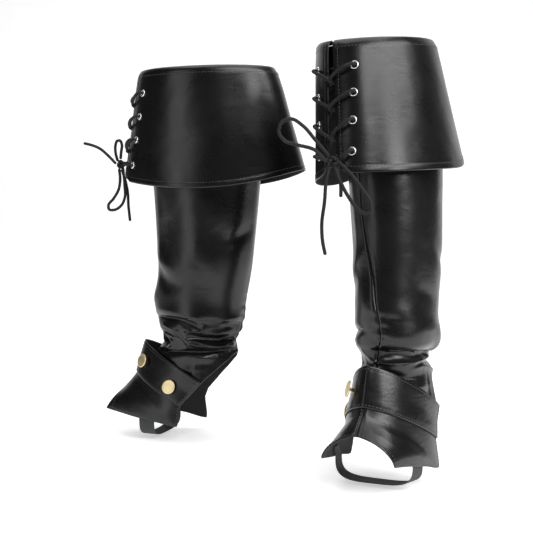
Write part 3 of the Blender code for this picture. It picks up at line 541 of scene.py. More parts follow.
def tubeRing(leg, heights, angles, levels):
    halfDepth, halfWidth, forward, outward, twist = [
        smooth(tube["ringHeight"], tube[key], heights)[:, None]
        for key in ("halfDepth", "halfWidth", "forward", "outward", "twistDeg")]
    lean = ease((heights - tube["cuffHem"]) / (leg["rimHeight"] - tube["cuffHem"]))[:, None]
    turned = angles + np.radians(twist)
    return np.stack([forward + leg["leanForward"] * lean + halfDepth * np.cos(turned),
                     outward + leg["leanOutward"] * lean + halfWidth * np.sin(turned), levels], axis=-1)


def rimHeight(leg, angle):
    return leg["rimHeight"] + leg["rimTilt"] * np.cos(angle) + leg["rimSway"] * np.sin(angle)


# ribs over the instep: ridge forward, ridge height, then forward, out and height of each end
ribTable = np.array((
    (0.083, 0.1375, -0.008, 0.05, 0.085, -0.016, 0.045, 0.084),
    (0.09, 0.116, 0.002, 0.0505, 0.068, 0.0000, 0.045, 0.067),
    (0.0965, 0.0935, 0.01, 0.0535, 0.05, 0.014, 0.048, 0.05),
    (0.1005, 0.086, 0.009, 0.057, 0.0165, 0.018, 0.052, 0.0225),
    (0.1055, 0.08, 0.042, 0.054, 0.0235, 0.046, 0.05, 0.0265),
    (0.111, 0.074, 0.076, 0.048, 0.03, 0.086, 0.044, 0.0325),
    (0.118, 0.066, 0.105, 0.0405, 0.034, 0.131, 0.035, 0.0412),
))
ribPower = 1.35


def ribGrid(rows, angles):
    rows, angles = np.asarray(rows, float), np.asarray(angles, float)
    low = np.clip(rows.astype(int), 0, len(ribTable) - 2)
    values = np.stack([smooth(range(len(ribTable)), ribTable[:, column], rows) for column in range(8)], axis=1)
    # the form changes at each rib's corner, so between ribs it follows the straight line half-way
    t = (rows - low)[:, None]
    straight = ribTable[low] * (1 - t) + ribTable[low + 1] * t
    values = values * 0.5 + straight * 0.5
    turn = np.radians(angles)[None, :]
    lean, reach = np.cos(turn), np.sign(turn) * np.abs(np.sin(turn)) ** ribPower
    outer = turn >= 0
    pick = [np.where(outer, values[:, 2 + k][:, None], values[:, 5 + k][:, None]) for k in range(3)]
    return np.stack([pick[0] + (values[:, 0][:, None] - pick[0]) * lean, pick[1] * reach,
                     pick[2] + (values[:, 1][:, None] - pick[2]) * lean], axis=-1)


def spread(grid, distance):
    return grid + turnedOut(gridNormals(grid), grid - instep) * distance


def hemLine(angles):
    degrees = np.degrees(angles)
    ribAngles = np.linspace(-90.0, 90.0, 37)
    lapped = spread(ribGrid((tube["lapRow"] - 0.1, tube["lapRow"], tube["lapRow"] + 0.1), ribAngles),
                    -cloth - tube["lapRoom"])[1]
    front = np.stack([np.interp(degrees / tube["sideAngle"] * 90.0, ribAngles, lapped[:, axis])
                      for axis in range(3)], axis=-1)
    hem = np.array(tube["hem"])
    away = np.abs(degrees)
    outwards = np.where(degrees > 0, np.interp(away, hem[:, 0], hem[:, 2]), np.interp(away, hem[:, 0], hem[:, 3]))
    back = np.stack([np.interp(away, hem[:, 0], hem[:, 1]), np.sign(degrees) * outwards,
                     np.interp(away, hem[:, 0], hem[:, 4])], axis=-1)
    return np.where((away < tube["sideAngle"])[:, None], front, back)


def foldRise(leg, points, angles):
    radius = foldRadius
    along = angles * radius
    rise = np.zeros(points.shape[:2])
    for fromDeg, fromHeight, toDeg, toHeight, halfWidth, lift in folds:
        lift = lift * shareOf(leg, fromDeg, toDeg) ** 0.7
        for turn in (-math.tau, 0.0, math.tau):
            start = np.array([(math.radians(fromDeg) + turn) * radius, fromHeight])
            run = np.array([(math.radians(toDeg) + turn) * radius, toHeight]) - start
            length = float(np.hypot(*run))
            dx, dz = along - start[0], points[..., 2] - start[1]
            t = np.clip((dx * run[0] + dz * run[1]) / length ** 2, 0.0, 1.0)
            distance = np.hypot(dx - t * run[0], dz - t * run[1])
            rise += lift * (0.35 + 0.65 * np.sin(np.pi * t)) * bell(distance, halfWidth)
    return rise


def tubeGrid(leg, angles):
    signed = (angles + math.pi) % math.tau - math.pi
    rim = rimHeight(leg, angles + math.radians(tube["twistDeg"][0])) - tube["rimDrop"]
    first = tubeRing(leg, np.array([leg["rimHeight"]]), angles[None], rim[None, :])[0]
    heights = np.concatenate([np.linspace(tube["top"], 0.21, tube["upperRows"] - 8),
                              np.linspace(0.21, tube["ankle"], tube["foldRows"])[1:]])
    tilt = 0.8 * ease((heights - tube["cuffHem"]) / (tube["top"] - tube["cuffHem"]))
    levels = heights[:, None] + (rim - leg["rimHeight"])[None, :] * tilt[:, None]
    steps = np.linspace(0, tube["lowerSteps"], tube["hemRows"] + 1)[1:]
    table = np.array(seamWander)
    reach = ease(1 - np.abs(signed) / math.radians(50))
    shift = np.radians(smooth(table[:, 0], table[:, 1], heights))[:, None] * reach[None, :]
    body = tubeRing(leg, heights, angles[None] + shift, levels)
    t = np.linspace(0, 1, 9)[:-1, None, None]
    crown = first[None] * (1 - t) + body[0][None] * t
    hem = hemLine(signed)
    lower = body[-1][None] + (hem - body[-1])[None] * (steps / tube["lowerSteps"])[:, None, None]
    base = np.concatenate([crown, body, lower])
    strength = np.concatenate([np.ones(len(base) - len(steps)), ease((tube["lowerSteps"] - steps) / 4.0)])[:, None]
    turned = np.tile(signed, (len(base), 1))
    turned[len(crown):len(crown) + len(body)] += shift
    turned[len(crown) + len(body):] += shift[-1] * (1 - steps / tube["lowerSteps"])[:, None]
    rise = foldRise(leg, base, turned) + fineRise(leg, base, turned)
    # the panels' seams lie in a shallow groove, with puckers at the slouch
    fromSeam = np.minimum(np.abs(signed), np.abs(np.abs(signed) - math.pi)) * 0.058
    groove = -0.0010 * bell(fromSeam, 0.0016) + 0.0004 * bell(fromSeam - 0.0042, 0.0022)
    pucker = 0.0006 * np.sin(base[..., 2] * math.tau / 0.013) * bell(fromSeam - 0.005, 0.006)[None, :]
    pucker = pucker * bell(base[..., 2] - 0.165, 0.035)
    rise = rise * strength + groove[None, :] + pucker
    ripple = wander(base, 0.095, 7 if leg["side"] > 0 else 8) * 0.0011
    fade = ease((0.40 - base[..., 2]) / 0.05) * np.minimum(1.0, strength + 0.15)
    normals = turnedOut(gridNormals(base), base - base.mean(axis=1, keepdims=True))
    outer = base + normals * (rise + ripple * fade)[..., None]
    return outer, outer - turnedOut(gridNormals(outer), normals) * cloth


def makeTube(prefix, leg):
    for panel, start, end in (("Lateral", 0.0, math.pi), ("Medial", math.pi, math.tau)):
        angles = np.linspace(start, end, tube["columns"] + 1)
        inset = seamGap / 2 / foldRadius
        angles[0] += inset
        angles[-1] -= inset
        outer, inner = tubeGrid(leg, angles)
        addSheet(f"{prefix}Shaft{panel}", f"{prefix}_shaft_{panel.lower()}", outer, inner, leg, leatherTube)


# the turned-down cuff
cuff = {
    "top": (0.1000, 0.0680, -0.022, -0.037), "bottom": (0.1320, 0.0820, -0.026, -0.016),
    "gapTop": 0.004, "gapBottom": 0.008, "corner": 0.018,
    "rimOut": (-0.0101, -0.0066, -0.0030, 0.0), "rimUp": (-0.0034, 0.0, -0.0006, -0.0050),
    "eyeletRows": (0.215, 0.420, 0.626, 0.853), "columns": 250, "rows": 84, "rimRows": 12,
    "hemFold": 0.0065, "facing": 0.0065, "meanDrop": 0.158, "firstRow": 0.050,
}


def cuffBase(leg, angle, row):
    sizes = [a + (b - a) * row for a, b in zip(cuff["top"], cuff["bottom"])]
    halfDepth, halfWidth, forward, outward = sizes
    share = 1.0 - 0.7 * row
    ahead, aside = np.cos(angle), np.sin(angle)
    front, outside, back, inside = leg["drops"]
    drop = ahead ** 2 * np.where(ahead > 0, front, back) + aside ** 2 * np.where(aside > 0, outside, inside)
    return np.stack([forward + leg["leanForward"] * share + halfDepth * ahead,
                     outward + leg["leanOutward"] * share + halfWidth * aside,
                     rimHeight(leg, angle) - drop * row], axis=-1)


def cuffArc(leg, row):  # angle against distance round the cuff, from the opening outward
    angles = math.radians(leg["openingDeg"]) + np.linspace(0, math.tau, 1441)
    return angles, reachAlong(cuffBase(leg, angles, row))


def gapAt(row):
    return cuff["gapTop"] + (cuff["gapBottom"] - cuff["gapTop"]) * min(max(row, 0.0), 1.0)


def flapAngle(leg, side, row, distance):
    angles, lengths = cuffArc(leg, row)
    walk = gapAt(row) + distance
    if side < 0:
        return float(np.interp(lengths[-1] - walk, lengths, angles)) - math.tau
    if walk < 0:
        return float(np.interp(lengths[-1] + walk, lengths, angles)) - math.tau
    return float(np.interp(walk, lengths, angles))


def cuffFrame(leg, angle, row):
    step = 1e-3
    here = cuffBase(leg, angle, row)
    around = cuffBase(leg, angle + step, row) - cuffBase(leg, angle - step, row)
    down = cuffBase(leg, angle, row + step) - cuffBase(leg, angle, row - step)
    normal = np.cross(around, down)
    normal /= np.linalg.norm(normal)
    if normal[0] * math.cos(angle) + normal[1] * math.sin(angle) < 0:
        normal = -normal
    return here, normal, around / np.linalg.norm(around)


def cuffPoint(leg, side, row, distance, out):
    here, normal, _ = cuffFrame(leg, flapAngle(leg, side, row, distance), row)
    return here + normal * out


def cuffGrid(leg):
    share = np.linspace(0, 1, cuff["columns"] + 1)
    share = share - 0.9 * np.sin(share * math.tau) / math.tau  # closer together near the flaps
    rimRows = np.linspace(0, 3, cuff["rimRows"])
    outs = smooth(range(4), cuff["rimOut"], rimRows)
    ups = smooth(range(4), cuff["rimUp"], rimRows)
    rows, fromEdge = [], []
    angles, lengths = cuffArc(leg, 0.0)
    walked = gapAt(0) + (lengths[-1] - 2 * gapAt(0)) * share
    turn = np.interp(walked, lengths, angles)
    here = cuffBase(leg, turn, 0.0)
    normals = np.stack([np.cos(turn) / cuff["top"][0], np.sin(turn) / cuff["top"][1], 0 * turn], axis=-1)
    normals /= np.linalg.norm(normals, axis=-1, keepdims=True)
    for out, up in zip(outs, ups):
        rows.append(here + normals * out + np.array([0, 0, up]))
        fromEdge.append(np.minimum(walked, lengths[-1] - walked) - gapAt(0))
    downs = [0.0] * len(rows)
    for row in np.linspace(cuff["firstRow"], 1.0, cuff["rows"]):
        angles, lengths = cuffArc(leg, row)
        walked = gapAt(row) + (lengths[-1] - 2 * gapAt(row)) * share
        turn = np.interp(walked, lengths, angles)
        edge = np.minimum(walked, lengths[-1] - walked) - gapAt(row)
        over = np.clip(cuff["corner"] - edge, 0, cuff["corner"])
        short = cuff["corner"] - np.sqrt(cuff["corner"] ** 2 - over ** 2)
        rows.append(cuffBase(leg, turn, row - short / leg["drops"][0] * ease((row - 0.6) / 0.4)))
        fromEdge.append(edge)
        downs.append(row)
    base, edge = np.array(rows), np.array(fromEdge)
    downs = np.array(downs)[:, None]
    normals = gridNormals(base)
    if np.sum(normals[-1] * (base[-1] - base.mean(axis=(0, 1)))) < 0:
        normals = -normals
    toHem = (1.0 - downs) * cuff["meanDrop"] + 0 * edge
    fromRim = downs * cuff["meanDrop"] + 0 * edge
    rise = 0.00035 * ease((cuff["hemFold"] - toHem) / 0.002 + 0.5) - 0.0004 * bell(toHem - cuff["hemFold"], 0.0010)
    rise = rise + 0.00035 * ease((cuff["facing"] - edge) / 0.002 + 0.5) * (downs > 0)
    rise = rise - 0.0004 * bell(edge - cuff["facing"], 0.0010) * (downs > 0)
    rise = rise - 0.00045 * bell(fromRim - 0.0085, 0.0012)
    sway = wander(base, 0.12, 3 if leg["side"] > 0 else 4) * 0.0016 * ease(downs / 0.25)
    outer = base + normals * (rise + sway)[..., None]
    fine = turnedOut(gridNormals(outer), normals)
    return outer, outer - fine * cloth, fine, edge, toHem, fromRim


def makeCuff(prefix, leg):
    outer, inner, normals, edge, toHem, fromRim = cuffGrid(leg)
    addSheet(f"{prefix}Cuff", f"{prefix}_cuff", outer, inner, leg, leatherCuff)
    return outer, normals, edge, toHem, fromRim


def turnedMesh(parts, material, name, sides):
    # rings or discs spun about their own axes: (profile of radius and height, centre, axis)
    points, faces = [], []
    for profile, centre, axis in parts:
        axis = Vector(axis).normalized()
        across = axis.orthogonal().normalized()
        along = axis.cross(across)
        base, count = len(points), len(profile)
        for s in range(sides):
            turn = math.tau * s / sides
            direction = across * math.cos(turn) + along * math.sin(turn)
            points += [Vector(centre) + direction * radius + axis * height for radius, height in profile]
        for s in range(sides):
            near, far = base + s * count, base + (s + 1) % sides * count
            faces += [(near + p, near + (p + 1) % count, far + (p + 1) % count, far + p) for p in range(count)]
    mesh = bpy.data.meshes.new(name)
    mesh.from_pydata(points, [], faces)
    mesh.materials.append(material)
    return settle(mesh)


eyelets = {"bore": 0.0028, "flange": 0.0050, "barrel": 0.0034, "sides": 36,
           "insetTop": 0.029, "insetBottom": 0.019}


def middleOf(node):
    low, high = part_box(node)
    return (np.array(low) + np.array(high)) / 2


def eyeletSeat(prefix, leg, side, number):  # the eyelet's own place, with the cuff's normal there
    node = f"{prefix}_eyelet_{'lateral' if side > 0 else 'medial'}_{number + 1}"
    centre = fromWorld(leg, middleOf(node))
    row = cuff["eyeletRows"][number]
    inset = eyelets["insetTop"] + (eyelets["insetBottom"] - eyelets["insetTop"]) * row
    _, normal, _ = cuffFrame(leg, flapAngle(leg, side, row, inset), row)
    return centre + normal * 0.0005, normal


def makeEyelets(prefix, leg):
    bore, flange, barrel = eyelets["bore"], eyelets["flange"], eyelets["barrel"]
    profile = [(bore, -0.0022), (bore, 0.0004)]
    lip = (flange - bore) / 2  # half-round flange
    for step in range(9):
        turn = math.pi - math.pi * step / 8
        profile.append((bore + lip + lip * math.cos(turn), 0.0005 + 0.0011 * math.sin(turn)))
    profile += [(flange, 0.0002), (barrel, 0.0002), (barrel, -0.0022)]
    parts = []
    for side in (1, -1):
        for number in range(4):
            centre, normal = eyeletSeat(prefix, leg, side, number)
            parts.append((profile, toWorld(leg, centre), turnOnly(leg, normal)))
    mesh = turnedMesh(parts, silver, f"{prefix}Eyelets", eyelets["sides"])
    nodes = [f"{prefix}_eyelet_{panel}_{n}" for panel in ("lateral", "medial") for n in (1, 2, 3, 4)]
    addPiece(f"{prefix}Eyelets", mesh, nodes)


# the spat's halves, the strap over them and the elastic under the sole
spat = {"rows": 76, "columns": 54, "first": 1.05, "last": 6.0}


def makeSpat(prefix, leg):
    rows = np.linspace(spat["first"], spat["last"], spat["rows"])
    found = {}
    for panel, start, end in (("Medial", -90.0, -0.25), ("Lateral", 0.25, 90.0)):
        angles = np.linspace(start, end, spat["columns"])
        base = ribGrid(rows, angles)
        base[..., 1] += seamGap / 2 * (-1 if panel == "Medial" else 1)
        seam = np.abs(base[..., 1])
        rise = -0.0007 * bell(seam, 0.0016) + 0.0003 * bell(seam - 0.0045, 0.0025)
        rise = rise + wander(base, 0.045, 21 if panel == "Medial" else 22) * 0.0007
        outer = spread(base, rise[..., None])
        inner = spread(outer, -cloth)
        addSheet(f"{prefix}Spat{panel}", f"{prefix}_spat_{panel.lower()}", outer, inner, leg, leatherTrim)
        found[panel] = outer
    return found


strap = {"rows": 30, "columns": 120, "wall": 0.0018, "first": 0.0, "last": 2.0}


def strapOuter(rows, angles):
    return spread(ribGrid(rows, angles), seamGap + strap["wall"])


def makeStrap(prefix, leg):
    rows = np.linspace(strap["first"], strap["last"], strap["rows"])
    angles = np.linspace(-90.0, 90.0, strap["columns"])
    base = ribGrid(rows, angles)
    edge = np.minimum(rows - strap["first"], strap["last"] - rows)[:, None]
    puff = 0.0003 * ease(edge / 0.16) - 0.0003 * bell(edge - 0.17, 0.04)
    outer = spread(base, (seamGap + strap["wall"] + puff)[..., None])
    inner = spread(base, seamGap)
    addSheet(f"{prefix}Strap", f"{prefix}_strap", outer, inner, leg, leatherTrim)
    return outer


buttons = {"radius": 0.0100, "upper": (1.0, -33.0, 0.0048), "lower": (1.3, -73.0, 0.0032), "sides": 56}


def makeButtons(prefix, leg):
    radius = buttons["radius"]
    for name in ("upper", "lower"):
        rib, angle, back = buttons[name]
        patch = strapOuter((rib - 0.1, rib, rib + 0.1), (angle - 2, angle, angle + 2))
        centre = patch[1, 1]
        normal = turnedOut(gridNormals(patch)[1, 1], centre - instep)
        profile = [(0.0, seamGap), (0.0021, seamGap), (0.0016, back * 0.6), (0.0024, back), (0.0082, back),
                   (radius - 0.0004, back + 0.0004), (radius, back + 0.0012), (radius - 0.0003, back + 0.0019),
                   (radius - 0.0010, back + 0.0023), (radius - 0.0018, back + 0.0024),
                   (radius - 0.0024, back + 0.0022), (0.0060, back + 0.00225), (0.0040, back + 0.0024),
                   (0.0020, back + 0.0025), (0.0, back + 0.0025)]
        mesh = turnedMesh([(profile, toWorld(leg, centre), turnOnly(leg, normal))], gold,
                          f"{prefix}Button{name.title()}", buttons["sides"])
        addPiece(f"{prefix}Button{name.title()}", mesh, (f"{prefix}_button_{name}",))


band = {"first": 4.15, "last": 4.75, "wall": 0.0012, "lift": 0.0030, "columns": 13, "steps": 64,
        "centre": (0.06, 0.0, 0.05)}


def makeBand(prefix, leg):
    columns = np.linspace(band["first"], band["last"], band["columns"])
    low = band["lift"] + band["wall"]
    turns = ((-92.0, -88.0, -84.0, -80.0, -76.0, -72.0, -60.0), (60.0, 72.0, 76.0, 80.0, 84.0, 88.0, 92.0))
    tabs = [spread(ribGrid(columns, turn), -cloth - seamGap) for turn in turns]
    innerTab, outerTab = [[tab[:, c] for c in (5, 4, 3, 2, 1)] for tab in tabs]
    rows = list(innerTab)
    start, end = innerTab[-1], outerTab[0]
    for step in range(1, band["steps"]):
        turn = math.pi * step / band["steps"]
        side = start if step <= band["steps"] / 2 else end
        wide, deep = abs(math.cos(turn)) ** 0.55, math.sin(turn) ** 0.55
        middle = (start[:, 0] + end[:, 0]) / 2
        point = side.copy()
        point[:, 1] = side[:, 1] * wide
        point[:, 2] = side[:, 2] - (side[:, 2] - low) * deep
        point[:, 0] = middle + (side[:, 0] - middle) * wide
        rows.append(point)
    rows += outerTab
    outer = np.array(rows)
    inner = outer - turnedOut(gridNormals(outer), outer - np.array(band["centre"])) * band["wall"]
    mesh = shellMesh(f"{prefix}FootBand", outer, inner, leg, (elastic, elastic))
    piece = addPiece(f"{prefix}FootBand", mesh, (f"{prefix}_foot_band",))
    area = areaOf(outer)
    length = lengthOf(outer[:, band["columns"] // 2])
    print(prefix, "band area", round(area, 5), "length", round(length, 4))


# the lace: one run through the eyelets, a knot, two loops and two tails on each gaiter
lace = {"diameter": 0.0040, "turn": 0.0028, "sides": 14, "step": 0.0013,
        "knotSize": (0.0070, 0.0062, 0.0066), "knotRoom": 0.0009}
bows = {
    "left": {
        "LoopA": ((-0.006, -0.004, 0.008), (-0.021, -0.01, 0.024), (-0.034, -0.013, 0.038),
                  (-0.047, -0.015, 0.045), (-0.057, -0.015, 0.041), (-0.06, -0.014, 0.032),
                  (-0.054, -0.013, 0.022), (-0.041, -0.012, 0.0175), (-0.021, -0.01, 0.012),
                  (-0.008, -0.004, -0.0005)),
        "LoopB": ((0.002, -0.006, -0.008), (0.006, -0.014, -0.021), (0.013, -0.018, -0.036),
                  (0.022, -0.023, -0.05), (0.032, -0.027, -0.058), (0.038, -0.029, -0.056),
                  (0.038, -0.029, -0.047), (0.03, -0.026, -0.033), (0.02, -0.02, -0.018),
                  (0.009, -0.007, -0.001)),
        "TailA": ((-0.006, -0.004, -0.008), (-0.008, -0.007, -0.022), (-0.01, -0.009, -0.045),
                  (-0.013, -0.009, -0.07), (-0.012, -0.008, -0.088), (-0.009, -0.008, -0.103)),
        "TailB": ((0.0055, 0.0015, -0.006), (0.007, 0.008, -0.011), (0.009, 0.013, -0.018),
                  (0.01, 0.015, -0.026), (0.01, 0.016, -0.038)),
    },
    "right": {
        "LoopA": ((-0.003, -0.003, -0.0075), (-0.001, -0.004, -0.022), (-0.003, -0.006, -0.037),
                  (-0.01, -0.008, -0.05), (-0.0165, -0.01, -0.059), (-0.0155, -0.011, -0.065),
                  (-0.007, -0.011, -0.0655), (0.002, -0.01, -0.059), (0.0065, -0.009, -0.048),
                  (0.006, -0.008, -0.03), (0.0045, -0.006, -0.0075)),
        "LoopB": ((-0.007, 0.003, 0.006), (-0.009, 0.004, 0.018), (-0.009, 0.004, 0.028),
                  (-0.0065, 0.002, 0.0335), (-0.002, 0.000, 0.034), (0.001, -0.001, 0.028),
                  (0.000, -0.001, 0.018), (-0.001, -0.001, 0.0085)),
        "TailA": ((-0.0085, -0.004, 0.0005), (-0.019, -0.006, 0.013), (-0.03, -0.007, 0.022),
                  (-0.041, -0.008, 0.0265), (-0.052, -0.009, 0.029)),
        "TailB": ((0.000, 0.004, -0.0075), (0.004, 0.006, -0.02), (0.008, 0.006, -0.038),
                  (0.0095, 0.005, -0.06), (0.012, 0.004, -0.081)),
    },
}


def lengthOf(points):
    return float(np.linalg.norm(np.diff(points, axis=0), axis=1).sum())


def fineRoute(points, step):
    points = np.asarray(points, float)
    lengths = reachAlong(points)
    wanted = np.linspace(0.0, lengths[-1], max(6, round(lengths[-1] / step)) + 1)
    return np.stack([smooth(lengths, points[:, axis], wanted) for axis in range(3)], axis=1)


def tubeMesh(name, points, radius, material, sides, closed=False):
    points = np.asarray(points, float)
    tangents = np.gradient(points, axis=0)
    if closed:
        tangents = np.roll(points, -1, axis=0) - np.roll(points, 1, axis=0)
    tangents /= np.linalg.norm(tangents, axis=1, keepdims=True)
    normal = np.cross(tangents[0], (0.3, 0.2, 0.93))
    normal /= np.linalg.norm(normal)
    rings, reach = [], [0.0]
    for index, (point, tangent) in enumerate(zip(points, tangents)):
        normal = normal - tangent * np.dot(normal, tangent)
        normal /= np.linalg.norm(normal)
        side = np.cross(tangent, normal)
        turn = np.linspace(0, math.tau, sides, endpoint=False)[:, None]
        rings.append(point + radius * (np.cos(turn) * normal + np.sin(turn) * side))
        if index:
            reach.append(reach[-1] + float(np.linalg.norm(point - points[index - 1])))
    rings = np.array(rings)
    if not closed:  # soft rounded ends
        rings[0] = points[0] + (rings[0] - points[0]) * 0.55
        rings[-1] = points[-1] + (rings[-1] - points[-1]) * 0.55
    verts = rings.reshape(-1, 3).tolist()
    faces, uvs = [], []
    count = len(points)
    for r in range(count if closed else count - 1):
        nextRing = (r + 1) % count
        for s in range(sides):
            t = (s + 1) % sides
            faces.append((r * sides + s, r * sides + t, nextRing * sides + t, nextRing * sides + s))
            top = reach[r + 1] if r + 1 < count else reach[-1] + reach[1]
            uvs += [(s / sides, reach[r]), ((s + 1) / sides, reach[r]), ((s + 1) / sides, top), (s / sides, top)]
    if not closed:
        for end in (0, count - 1):
            verts.append(points[end].tolist())
            for s in range(sides):
                a, b = end * sides + s, end * sides + (s + 1) % sides
                faces.append((a, b, len(verts) - 1) if end else (b, a, len(verts) - 1))
                uvs += [(s / sides, reach[end])] * 3
    mesh = bpy.data.meshes.new(name)
    mesh.from_pydata(verts, [], faces)
    layer = mesh.uv_layers.new(name="along")
    layer.data.foreach_set("uv", np.array(uvs, np.float32).ravel())
    mesh.materials.append(material)
    return settle(mesh, merged=False)


def lacingRoute(prefix, leg):
    above = lace["diameter"] / 2 + 0.0022
    under = -cloth - lace["diameter"] / 2 - 0.0012
    rows = cuff["eyeletRows"]
    last = len(rows) - 1

    def atEyelet(side, number, out):
        centre, normal = eyeletSeat(prefix, leg, side, number)
        return centre + normal * out

    def climb(side):
        course = [atEyelet(side, last, above), atEyelet(side, last, under)]
        for number in range(last - 1, -1, -1):
            low, high = rows[number + 1], rows[number]
            middle, reach = (low + high) / 2, (low - high) * 0.17
            over = (side == 1) == (number % 2 == 0)
            course.append(cuffPoint(leg, side, middle + reach, 0.0040, under - 0.0004))
            course.append(cuffPoint(leg, side, middle + reach * 0.4, -lace["turn"], -0.0032))
            course.append(cuffPoint(leg, 0.0, middle, -gapAt(middle), 0.0026 if over else -0.0020))
            side = -side
            course.append(cuffPoint(leg, side, middle - reach * 0.4, -lace["turn"], 0.0034 if over else 0.0020))
            course.append(cuffPoint(leg, side, middle - reach, 0.0030, above + 0.0004))
            course += [atEyelet(side, number, above), atEyelet(side, number, under)]
        return course, side

    up, topSide = climb(1)
    down, _ = climb(-1)
    bar = [cuffPoint(leg, topSide, rows[0], distance, under - 0.0004) for distance in (0.018, 0.006)]
    bar += [cuffPoint(leg, -topSide, rows[0], distance, under - 0.0004) for distance in (0.006, 0.018)]
    return up + bar + down[::-1]


def seatOnKnot(knot, point):
    away = np.subtract(point, knot)
    away /= np.linalg.norm(away)
    return knot + away * (1.0 / np.linalg.norm(away / np.array(lace["knotSize"])) + lace["knotRoom"])


def makeLacing(prefix, leg):
    knot = middleOf(f"{prefix}_bow_knot")
    course = toWorld(leg, np.array(lacingRoute(prefix, leg)))
    course = np.vstack([seatOnKnot(knot, course[0]), course, seatOnKnot(knot, course[-1])])
    route = fineRoute(course, lace["step"])
    mesh = tubeMesh(f"{prefix}Lacing", route, lace["diameter"] / 2, braid, lace["sides"])
    piece = addPiece(f"{prefix}Lacing", mesh, (f"{prefix}_lacing",))
    print(prefix, "lacing length", round(lengthOf(route), 4))
    # the knot: one lace wrapped over and under itself
    turn = np.linspace(0, math.tau, 120, endpoint=False)
    wrap = np.stack([(1.0 + 0.42 * np.cos(3 * turn)) * np.cos(2 * turn),
                     0.55 * np.sin(3 * turn), (1.0 + 0.42 * np.cos(3 * turn)) * np.sin(2 * turn)], axis=1)
    knotPath = knot + wrap * (np.array(lace["knotSize"]) - 0.0019) / np.array([1.42, 0.55, 1.42])
    mesh = tubeMesh(f"{prefix}Knot", knotPath, 0.0019, braid, 12, closed=True)
    addPiece(f"{prefix}Knot", mesh, (f"{prefix}_bow_knot",))
    for name, offsets in bows[prefix].items():
        points = knot + np.array(offsets)
        points[0] = seatOnKnot(knot, points[0])
        if name.startswith("Loop"):
            points[-1] = seatOnKnot(knot, points[-1])
        route = fineRoute(points, lace["step"])
        node = f"{prefix}_bow_{name[:-1].lower()}_{name[-1].lower()}"
        mesh = tubeMesh(f"{prefix}{name}", route, lace["diameter"] / 2, braid, lace["sides"])
        piece = addPiece(f"{prefix}{name}", mesh, (node,))
        print(prefix, name, "length", round(lengthOf(route), 4))


for prefix, leg in legs.items():
    makeLacing(prefix, leg)
print("laces made")


# stitches: a small capsule on each point of a path, turned along it
stitch = {"length": 0.0029, "width": 0.00085, "pitch": 0.0042}


def stitchTree():
    tree = bpy.data.node_groups.new("stitchRow", "GeometryNodeTree")
    face = tree.interface
    face.new_socket(name="Geometry", in_out="INPUT", socket_type="NodeSocketGeometry")
    for label, value in (("stitchLength", stitch["length"]), ("threadWidth", stitch["width"])):
        face.new_socket(name=label, in_out="INPUT", socket_type="NodeSocketFloat").default_value = value
    face.new_socket(name="threadMaterial", in_out="INPUT", socket_type="NodeSocketMaterial")
    face.new_socket(name="Geometry", in_out="OUTPUT", socket_type="NodeSocketGeometry")
    nodes = {key: tree.nodes.new(kind) for key, kind in (
        ("entry", "NodeGroupInput"), ("leave", "NodeGroupOutput"), ("ball", "GeometryNodeMeshUVSphere"),
        ("size", "ShaderNodeCombineXYZ"), ("along", "GeometryNodeInputNamedAttribute"),
        ("out", "GeometryNodeInputNamedAttribute"), ("turn", "FunctionNodeAxesToRotation"),
        ("points", "GeometryNodeInstanceOnPoints"), ("real", "GeometryNodeRealizeInstances"),
        ("paint", "GeometryNodeSetMaterial"))}
    for key, value in (("Segments", 6), ("Rings", 4), ("Radius", 0.5)):
        nodes["ball"].inputs[key].default_value = value
    for key in ("along", "out"):
        nodes[key].data_type = "FLOAT_VECTOR"
        nodes[key].inputs["Name"].default_value = key
    nodes["turn"].primary_axis, nodes["turn"].secondary_axis = "X", "Z"
    for source, leaving, target, entering in (
            ("entry", "stitchLength", "size", "X"), ("entry", "threadWidth", "size", "Y"),
            ("entry", "threadWidth", "size", "Z"), ("along", "Attribute", "turn", "Primary Axis"),
            ("out", "Attribute", "turn", "Secondary Axis"), ("entry", "Geometry", "points", "Points"),
            ("ball", "Mesh", "points", "Instance"), ("turn", "Rotation", "points", "Rotation"),
            ("size", "Vector", "points", "Scale"), ("points", "Instances", "real", "Geometry"),
            ("real", "Geometry", "paint", "Geometry"), ("entry", "threadMaterial", "paint", "Material"),
            ("paint", "Geometry", "leave", "Geometry")):
        tree.links.new(nodes[source].outputs[leaving], nodes[target].inputs[entering])
    return tree


rowTree = stitchTree()


def stitchesAlong(line, normals):
    lengths = reachAlong(line)
    wanted = np.arange(stitch["pitch"], lengths[-1] - stitch["pitch"] / 2, stitch["pitch"])
    place = np.stack([np.interp(wanted, lengths, line[:, k]) for k in range(3)], axis=1)
    ahead = np.stack([np.interp(wanted + 1e-4, lengths, line[:, k]) for k in range(3)], axis=1) - place
    out = np.stack([np.interp(wanted, lengths, normals[:, k]) for k in range(3)], axis=1)
    ahead /= np.maximum(np.linalg.norm(ahead, axis=1, keepdims=True), 1e-12)
    return place + out * 0.00012, ahead, out


